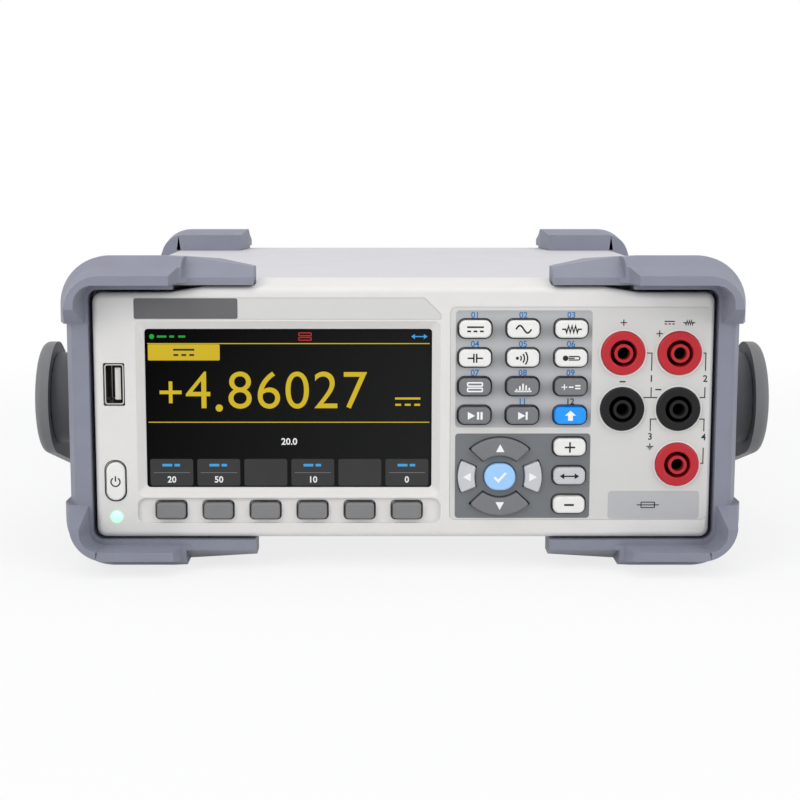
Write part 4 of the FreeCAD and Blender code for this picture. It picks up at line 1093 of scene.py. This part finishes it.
@dataclass
class Screen:
    """The window, and the picture on it as thin lit marks.

    Attributes:
        lap: How far the window reaches behind the bezel.
        reading: Digits of the reading.
        digit_height: Height of the large digits.
        digit_pitch: Distance between them.
        tile_width: Width of a tile over a soft key.
        tile_height: Height of a tile.
        tile_down: Centre of the tiles from the window's top, in millimetres. So are the others
            that end in down.
        rule_downs: The two long lines.
        rule_size: Length and width of those lines, in millimetres.
        tab: Place of the tab's centre across and down, its width and its height, in millimetres.
        status_down: The row of small marks.
        reading_down: The reading.
        first_digit: Centre of the first digit from the window's left, in millimetres.
        point_room: Room that the point takes, in millimetres.
        point: Place of the point, across and down, in millimetres.
        unit: Place of the unit's mark, across and down, in millimetres.
        limit: Place of the small number under the reading, across and down, in millimetres.
        left: The picture's left edge. This and the next four are found when it is built.
        right: Its right edge.
        top: Its upper edge.
        bottom: Its lower edge.
        y: Face of the window.
    """

    lap: float = 2.0 * MM
    reading: str = "486027"
    digit_height: float = 13.2 * MM
    digit_pitch: float = 9.75 * MM
    tile_width: float = 14.7 * MM
    tile_height: float = 9.3 * MM
    tile_down: float = 49.5
    rule_downs: Point = (5.1, 32.1)
    rule_size: Point = (95.9, 0.3)
    tab: tuple[float, float, float, float] = (13.2, 8.1, 24.4, 5.5)
    status_down: float = 2.7
    reading_down: float = 21.8
    first_digit: float = 18.0
    point_room: float = 4.4
    point: Point = (25.0, 27.2)
    unit: Point = (89.3, 25.0)
    limit: Point = (48.8, 38.9)
    left: float = field(init=False, default=0.0)
    right: float = field(init=False, default=0.0)
    top: float = field(init=False, default=0.0)
    bottom: float = field(init=False, default=0.0)
    y: float = field(init=False, default=0.0)

    def build(self) -> None:
        """Dresses the window and draws the picture."""
        low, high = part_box("display_window")
        self.left, self.right = low.x + self.lap, high.x - self.lap
        self.top, self.bottom = high.z - self.lap, low.z + self.lap
        self.y = low.y
        # painted reflection: the window pales from near black at its upper left to charcoal at its
        # lower right
        dress("display_window", SheenFinish(
            "window_painted_reflection", linear(1, 1, 1), 0.1, 0.0, 0.5 * MM, 0.0, specular=0.025,
            far_colour=linear(34, 35, 34), start=(self.left, self.top),
            end=(self.right, self.bottom)))
        dress("lcd_module", Look.DARK.value)
        self.rules()
        self.status_row()
        self.big_reading()
        self.tiles()

    def spot(self, across: float, down: float) -> Vector:
        """A place on the window, in millimetres from its upper left corner."""
        return Vector((self.left + across * MM, self.y, self.top - down * MM))

    def bar(self, name: str, across: float, down: float, width: float, height: float,
            ink: Ink) -> None:
        """A plain bar or block.

        Args:
            name: Name of the piece.
            across: Its centre from the window's left, in millimetres.
            down: Its centre from the window's top, in millimetres.
            width: Its width, in millimetres.
            height: Its height, in millimetres.
            ink: Its colour.
        """
        outline = rounded_box(width, height, min(width, height) * 0.08)
        Drawing().fill(outline).mesh(name, self.spot(across, down), ink.value, CASE)

    def rules(self) -> None:
        """Two long yellow lines and the tab under the first."""
        middle = (self.right - self.left) / MM / 2
        for i, down in enumerate(self.rule_downs):
            self.bar(f"screen_rule_{i}", middle, down, *self.rule_size, Ink.YELLOW_LIT)
        self.bar("screen_tab", *self.tab, Ink.YELLOW_LIT)
        sign = Glyph.DIRECT.draw().sized(1.5, 1.6)
        sign.mesh("screen_tab_sign", self.spot(*self.tab[:2]) - Vector((0, INK_PROUD, 0)),
                  Ink.BLACK.value, CASE)

    def status_row(self) -> None:
        """Small marks along the top."""
        dot = Drawing().fill(arc((0, 0), 0.85, 0, 360, 18)[:-1])
        down = self.status_down
        dot.mesh("screen_ready_dot", self.spot(2.4, down), Ink.GREEN_LIT.value, CASE)
        for i, wide in enumerate((3.2, 1.6, 2.4)):
            self.bar(f"screen_ready_bar_{i}", 5.8 + 3.4 * i, down, wide, 0.7, Ink.GREEN_LIT)
        Glyph.PAIR.draw().mesh("screen_link_mark", self.spot(54.4, down), Ink.RED_LIT.value, CASE)
        Glyph.SPAN.draw().mesh("screen_range_mark", self.spot(93.2, down), Ink.BLUE_LIT.value,
                               CASE)

    def big_reading(self) -> None:
        """The sign, the digits, the point and the unit's mark."""
        down = self.reading_down
        plus = Glyph.PLUS.draw().sized(2.5, 1.0)
        plus.mesh("screen_plus", self.spot(8.5, down), Ink.YELLOW_LIT.value, CASE)
        for i, digit in enumerate(self.reading):
            across = self.first_digit + self.digit_pitch / MM * i + (self.point_room if i else 0)
            number_text(f"screen_digit_{i}", digit, self.spot(across, down), self.digit_height,
                        Ink.YELLOW_LIT.value, weight=-0.004)
        point = Drawing().fill(arc((0, 0), 1.25, 0, 360, 20)[:-1])
        point.mesh("screen_point", self.spot(*self.point), Ink.YELLOW_LIT.value, CASE)
        unit = Glyph.DIRECT.draw().sized(1.8, 1.7)
        unit.mesh("screen_unit", self.spot(*self.unit), Ink.YELLOW_LIT.value, CASE)
        number_text("screen_range", "20.0", self.spot(*self.limit), 2.3 * MM,
                    Ink.WHITE_LIT.value)

    def tiles(self) -> None:
        """Six tiles, one over each soft key, four of them in use."""
        used = {1: "20", 2: "50", 4: "10", 6: "0"}
        for i in range(1, 7):
            key = face_of(f"soft_key_{i}")
            across = (key.x - self.left) / MM
            self.bar(f"screen_tile_{i}", across, self.tile_down, self.tile_width / MM,
                     self.tile_height / MM, Ink.TILE)
            if i not in used:
                continue
            lift = Vector((0, -INK_PROUD, 0))
            rule = Drawing(0.16).line([(-6.2, 0), (6.2, 0)])
            rule.mesh(f"screen_tile_rule_{i}", self.spot(across, 49.6) + lift, Ink.RULE.value,
                      CASE)
            for j, wide in enumerate((3.4, 1.9)):
                shift = -1.5 + 3.4 * j
                mark = Drawing().fill(rounded_box(wide, 0.9, 0.2))
                mark.mesh(f"screen_tile_head_{i}_{j}", self.spot(across + shift, 47.0) + lift,
                          Ink.BLUE_LIT.value, CASE)
            number_text(f"screen_tile_value_{i}", used[i], self.spot(across, 52.1) + lift,
                        2.2 * MM, Ink.WHITE_LIT.value)


@dataclass
class FrontLabels:
    """The printed film, the jacks and the prints round them.

    Attributes:
        collar: Radius of a jack's collar, in millimetres. So are the next three.
        ring_gap: Distance from a jack's edge to the white ring round it.
        ring_width: Width of the ring.
        line_width: Width of the black lines.
        fuse_field: Lower and upper edge of the small field under the jacks.
        badge_size: Width and height of the bare plate, in millimetres.
        badge_place: Its centre from the bezel's left and below the strip's top.
        number_height: Height of the numbers in the brackets.
    """

    collar: float = 7.4
    ring_gap: float = 0.15
    ring_width: float = 0.5
    line_width: float = 0.36
    fuse_field: Point = (17.6 * MM, 27.4 * MM)
    badge_size: Point = (35.0, 6.9)
    badge_place: Point = (31.7 * MM, 3.55 * MM)
    number_height: float = 2.3 * MM

    def build(self) -> None:
        """Dresses the film and prints on it."""
        self.film()
        self.jacks()
        self.brackets()
        self.badge()

    def film(self) -> None:
        """Finishes the film, with its fields placed about the keys."""
        low_key, high_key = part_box("function_key_10"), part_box("function_key_03")
        minus, left_key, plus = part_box("key_minus"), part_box("key_left"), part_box("key_plus")
        left = left_key[0].x - 0.4 * MM
        right = minus[1].x + 0.9 * MM
        rows = [face_of(f"function_key_{i:02d}").z for i in (1, 10)]
        low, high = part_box("jack_current"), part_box("jack_sense_high")
        dress("label_films", FilmFinish(
            "film_print", linear(208, 207, 204), 0.36, 0.06, 0.4 * MM, 0.01,
            upper=Panel(left, right, low_key[0].z - 0.5 * MM, high_key[1].z + 2.4 * MM),
            lower=Panel(left, right, minus[0].z - 1.1 * MM, plus[1].z + 0.7 * MM),
            label=Panel(high[0].x + 4.4 * MM, low[1].x - 0.6 * MM, *self.fuse_field),
            row_z=rows[1] - 0.8 * MM, row_pitch=(rows[0] - rows[1]) / 3))
        mark = Vector(((high[0].x + low[1].x) / 2, film_face(), sum(self.fuse_field) / 2))
        Glyph.FUSE.draw().mesh("fuse_mark", mark, Ink.BLACK.value, CASE)

    def jacks(self) -> None:
        """Dresses the jacks and rings them."""
        film_y = film_face()
        for node, look in (("jack_sense_high", Look.RED_JACK), ("jack_input_high", Look.RED_JACK),
                           ("jack_current", Look.RED_JACK), ("jack_sense_low", Look.BLACK_JACK),
                           ("jack_input_low", Look.BLACK_JACK)):
            dress(node, look.value)
            radius = self.collar + self.ring_gap + self.ring_width / 2
            at = face_of(node)
            at.y = film_y
            ring = Drawing(self.ring_width).line(arc((0, 0), radius, 0, 360, 64)[:-1], True)
            ring.mesh(f"{node}_ring", at, Ink.RING.value, CASE)
        dress("jack_contacts", Look.CONTACT.value)
        dress("usb_host_port", Look.STEEL.value)
        dress("power_led", Look.LAMP.value)
        self.socket()

    def socket(self) -> None:
        """The pale tongue and the dark well of the host socket."""
        low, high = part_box("usb_host_port")
        middle = face_of("usb_host_port")
        tongue = Vector((high.x - 2.25 * MM, low.y + 1.8 * MM, middle.z))
        Drawing().fill(rounded_box(1.9, 10.9, 0.15)).mesh(
            "usb_tongue_face", tongue, Look.TONGUE.value, CASE)
        well = Vector((middle.x, high.y - 1.02 * MM, middle.z))
        Drawing().fill(rounded_box(5.5, 12.8, 0.4)).mesh("usb_well", well, Look.DARK.value, CASE)

    def trace(self, name: str, points: Sequence[Point]) -> None:
        """A black line on the film, through places given in millimetres."""
        at = Vector((0, film_face(), 0))
        Drawing(self.line_width).line(points).mesh(name, at, Ink.BLACK.value, CASE)

    def brackets(self) -> None:
        """Black lines that tie the jacks in pairs, the numbers in their gaps and the signs."""
        film_y = film_face()
        spots = {n: face_of(f"jack_{n}") / MM for n in ("sense_high", "sense_low", "input_high",
                                                        "input_low", "current")}
        sense, top, low, foot = (spots[n] for n in ("sense_high", "input_high", "input_low",
                                                    "current"))
        reach = self.collar + self.ring_gap + self.ring_width
        inner_x, outer_x = sense.x + 9.74, top.x + 8.9
        up, down, side = 3.9, 3.5, 7.2
        for name, spot, x in (("sense", sense, inner_x), ("input", top, outer_x)):
            self.trace(f"bracket_{name}_upper", [(spot.x + reach, top.z), (x, top.z),
                                                 (x, top.z - 6.0)])
            self.trace(f"bracket_{name}_lower", [(x, low.z + 7.4), (x, low.z + up),
                                                 (spot.x + side, low.z + up)])
        self.trace("bracket_tie", [(inner_x, low.z + up), (low.x - side, low.z + up)])
        self.trace("bracket_guard", [(low.x - side, low.z - down), (inner_x, low.z - down),
                                     (inner_x, low.z - 7.7)])
        self.trace("bracket_current_upper", [(low.x + side, low.z - down),
                                             (outer_x, low.z - down), (outer_x, low.z - 7.7)])
        self.trace("bracket_current_lower", [(outer_x, foot.z + 5.7), (outer_x, foot.z + 0.3),
                                             (foot.x + reach, foot.z + 0.3)])
        for i, (x, z) in enumerate(((inner_x, top.z - 8.8), (outer_x, top.z - 8.8),
                                    (inner_x, low.z - 9.6), (outer_x, low.z - 9.8)), 1):
            number_text(f"pair_number_{i}", str(i), Vector((x * MM, film_y, z * MM)),
                        self.number_height, Ink.BLACK.value)
        for name, sign, x, z in (
                ("sense_plus", Glyph.PLUS, sense.x, top.z + 10.3),
                ("sense_minus", Glyph.MINUS, sense.x, low.z + 9.3),
                ("input_minus", Glyph.MINUS, low.x - 6.9, low.z + 6.6),
                ("input_plus", Glyph.PLUS, top.x - 6.9, top.z + 6.6),
                ("input_direct", Glyph.DIRECT, top.x - 3.6, top.z + 10.3),
                ("input_resistor", Glyph.RESISTOR, top.x + 3.0, top.z + 10.3),
                ("ground", Glyph.GROUND, inner_x, low.z - 12.9)):
            sign.draw().sized(0.72, 0.95).mesh(f"mark_{name}", Vector((x * MM, film_y, z * MM)),
                                               Ink.BLACK.value, CASE)

    def badge(self) -> None:
        """A bare grey plate at the left end of the strip over the display."""
        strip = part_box("label_films")
        across, below = self.badge_place
        at = Vector((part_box("front_bezel")[0].x + across, strip[0].y, strip[1].z - below))
        plate = Drawing().fill(rounded_box(*self.badge_size, 0.7))
        plate.mesh("bare_badge", at, Look.BADGE.value, CASE)


@dataclass
class RearFace:
    """Connectors, fuse holders and what is marked beside them.

    Attributes:
        socket_inset: Distance from the connectors' ends to the middle of a round socket.
        number_out: Distance from the connectors' side to the numbers.
        number_height: Height of the numbers.
        mark_rise: Distance from the fuse cap's middle to the mark over it.
    """

    socket_inset: float = 7 * MM
    number_out: float = 4 * MM
    number_height: float = 3.2 * MM
    mark_rise: float = 11 * MM

    def build(self) -> None:
        """Dresses the rear pieces and numbers the round sockets."""
        for node, look in (("mains_inlet", Look.DARK), ("fuse_drawer", Look.DARK),
                           ("selector_body", Look.DARK), ("voltage_selector", Look.SELECTOR),
                           ("input_fuse_cap", Look.DARK), ("rear_connectors", Look.CONNECTOR)):
            dress(node, look.value)
        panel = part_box("rear_panel")
        low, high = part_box("rear_connectors")
        for i, z in enumerate((high.z - self.socket_inset, low.z + self.socket_inset), 1):
            at = Vector((low.x - self.number_out, panel[1].y, z))
            number_text(f"socket_number_{i}", str(i), at, self.number_height, Ink.BLACK.value,
                        CASE, True)
        cap = face_of("input_fuse_cap", True)
        at = Vector((cap.x, panel[1].y, cap.z + self.mark_rise))
        Glyph.FUSE.draw().mesh("rear_fuse_mark", at, Ink.BLACK.value, CASE, True)


@dataclass
class Inside:
    """Boards and transformer behind the vents."""

    def build(self) -> None:
        """Dresses the inner pieces."""
        for node, look in (("front_board", Look.BOARD), ("main_board", Look.BOARD),
                           ("transformer", Look.IRON)):
            dress(node, look.value)


# ---- set --------------------------------------------------------------------------------


def seen_rays(tree: bpy.types.NodeTree) -> bpy.types.NodeSocket:
    """Finds where a ray shows the background: straight, mirrored or through glass.

    Args:
        tree: Node tree of the floor or the world.

    Returns:
        Socket that is 1 there and 0 for light that falls on the instrument.
    """
    path = tree.nodes.new("ShaderNodeLightPath")
    mirrored = add_maths(tree, "ADD", path.outputs["Is Camera Ray"], path.outputs["Is Glossy Ray"])
    seen = add_maths(tree, "ADD", mirrored, path.outputs["Is Transmission Ray"])
    seen.node.use_clamp = True
    return seen


@dataclass
class Studio:
    """A white floor, a pale world and three soft lamps.

    Attributes:
        floor_size: Side of the floor.
        world_strength: Light from all round.
        shadow_share: How much of the floor's white near the instrument is its own.
        fade: Distances from the middle between which the floor turns to plain white.
        lamps: Name, place, height, width, depth and power of each lamp.
    """

    floor_size: float = 12.0
    world_strength: float = 0.5
    shadow_share: float = 0.78
    fade: Point = (0.2, 0.6)
    lamps: tuple[tuple[str, Point, float, float, float, float], ...] = (
        ("overhead", (0.0, -0.1), 1.35, 1.6, 1.2, 7.5),
        ("left_front", (-1.1, -1.3), 0.9, 0.9, 1.2, 11.0),
        ("right_front", (1.2, -1.2), 0.8, 0.9, 1.2, 8.0))

    def build(self) -> None:
        """Makes the set."""
        self.floor()
        self.world()
        for lamp in self.lamps:
            self.lamp(*lamp)
        settings = bpy.context.scene.view_settings
        settings.view_transform = "Standard"

    def floor(self) -> None:
        """A large white plane that keeps the shadow."""
        shape = bmesh.new()
        bmesh.ops.create_grid(shape, x_segments=1, y_segments=1, size=self.floor_size / 2)
        data = bpy.data.meshes.new("floor")
        shape.to_mesh(data)
        shape.free()
        floor = bpy.data.objects.new("floor", data)
        floor.location.z = -0.02 * MM
        bpy.context.scene.collection.objects.link(floor)
        paint = bpy.data.materials.new("floor_white")
        paint.use_nodes = True
        tree = paint.node_tree
        shader = tree.nodes["Principled BSDF"]
        shader.inputs["Base Color"].default_value = (0.86, 0.86, 0.86, 1)
        shader.inputs["Roughness"].default_value = 0.9
        shader.inputs["Specular IOR Level"].default_value = 0.0
        glow = tree.nodes.new("ShaderNodeEmission")
        glow.inputs["Color"].default_value = (1, 1, 1, 1)
        far = tree.nodes.new("ShaderNodeVectorMath")
        far.operation = "LENGTH"
        tree.links.new(tree.nodes.new("ShaderNodeNewGeometry").outputs["Position"], far.inputs[0])
        fade = tree.nodes.new("ShaderNodeMapRange")
        fade.interpolation_type = "SMOOTHSTEP"
        fade.inputs["From Min"].default_value = self.fade[0]
        fade.inputs["From Max"].default_value = self.fade[1]
        fade.inputs["To Min"].default_value = self.shadow_share
        tree.links.new(far.outputs["Value"], fade.inputs["Value"])
        share = add_maths(tree, "MULTIPLY", seen_rays(tree), fade.outputs["Result"])
        mix = tree.nodes.new("ShaderNodeMixShader")
        tree.links.new(share, mix.inputs[0])
        tree.links.new(shader.outputs[0], mix.inputs[1])
        tree.links.new(glow.outputs[0], mix.inputs[2])
        tree.links.new(mix.outputs[0], tree.nodes["Material Output"].inputs["Surface"])
        data.materials.append(paint)

    def world(self) -> None:
        """A pale world that the camera sees as white."""
        world = bpy.data.worlds.new("studio")
        bpy.context.scene.world = world
        world.use_nodes = True
        tree = world.node_tree
        shade = tree.nodes["Background"]
        shade.inputs["Color"].default_value = (0.96, 0.98, 1.0, 1)
        shade.inputs["Strength"].default_value = self.world_strength
        white = tree.nodes.new("ShaderNodeBackground")
        white.inputs["Color"].default_value = (1, 1, 1, 1)
        mix = tree.nodes.new("ShaderNodeMixShader")
        tree.links.new(seen_rays(tree), mix.inputs[0])
        tree.links.new(shade.outputs[0], mix.inputs[1])
        tree.links.new(white.outputs[0], mix.inputs[2])
        tree.links.new(mix.outputs[0], tree.nodes["World Output"].inputs["Surface"])

    def lamp(self, name: str, place: Point, height: float, width: float, depth: float,
             power: float) -> None:
        """Hangs one soft lamp that faces the instrument.

        Args:
            name: Name of the lamp.
            place: Its X and Y.
            height: Its Z.
            width: Width of its face.
            depth: Height of its face.
            power: Its power, in watts.
        """
        data = bpy.data.lights.new(name, "AREA")
        data.shape = "RECTANGLE"
        data.size = width
        data.size_y = depth
        data.energy = power
        lamp = bpy.data.objects.new(name, data)
        lamp.location = (*place, height)
        aim = Vector((0, 0, 0.05)) - lamp.location
        lamp.rotation_euler = aim.to_track_quat("-Z", "Y").to_euler()
        bpy.context.scene.collection.objects.link(lamp)


@dataclass
class ViewCamera:
    """The camera, in front of the instrument and a little above it.

    Attributes:
        place: Where it stands.
        pitch: How far it looks down, in degrees.
        lens: Focal length, in millimetres.
        shift: Shift of the lens, across and up.
    """

    place: tuple[float, float, float] = (-0.00939, -0.67172, 0.1352)
    pitch: float = 8.02
    lens: float = 71.97
    shift: Point = (0.03064, -0.00295)

    def build(self) -> None:
        """Makes the camera and hands it to the scene."""
        data = bpy.data.cameras.new("view")
        data.lens = self.lens
        data.sensor_width = 36
        data.shift_x, data.shift_y = self.shift
        data.clip_start, data.clip_end = 0.01, 50
        camera = bpy.data.objects.new("view", data)
        camera.location = self.place
        camera.rotation_euler = (math.radians(90 - self.pitch), 0, 0)
        bpy.context.scene.collection.objects.link(camera)
        bpy.context.scene.camera = camera


def main() -> None:
    """Builds the sub-assemblies in order, then the set, and logs the name of each."""
    logging.basicConfig(level=logging.INFO, format="%(name)s: %(message)s")
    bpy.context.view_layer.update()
    for part in (Casing(), Bumpers(), CarryHandle(), Keypad(), Screen(), FrontLabels(),
                 RearFace(), Inside(), Studio(), ViewCamera()):
        LOG.info("%s", type(part).__name__)
        part.build()
    bpy.context.view_layer.update()


if __name__ == "__main__":
    main()
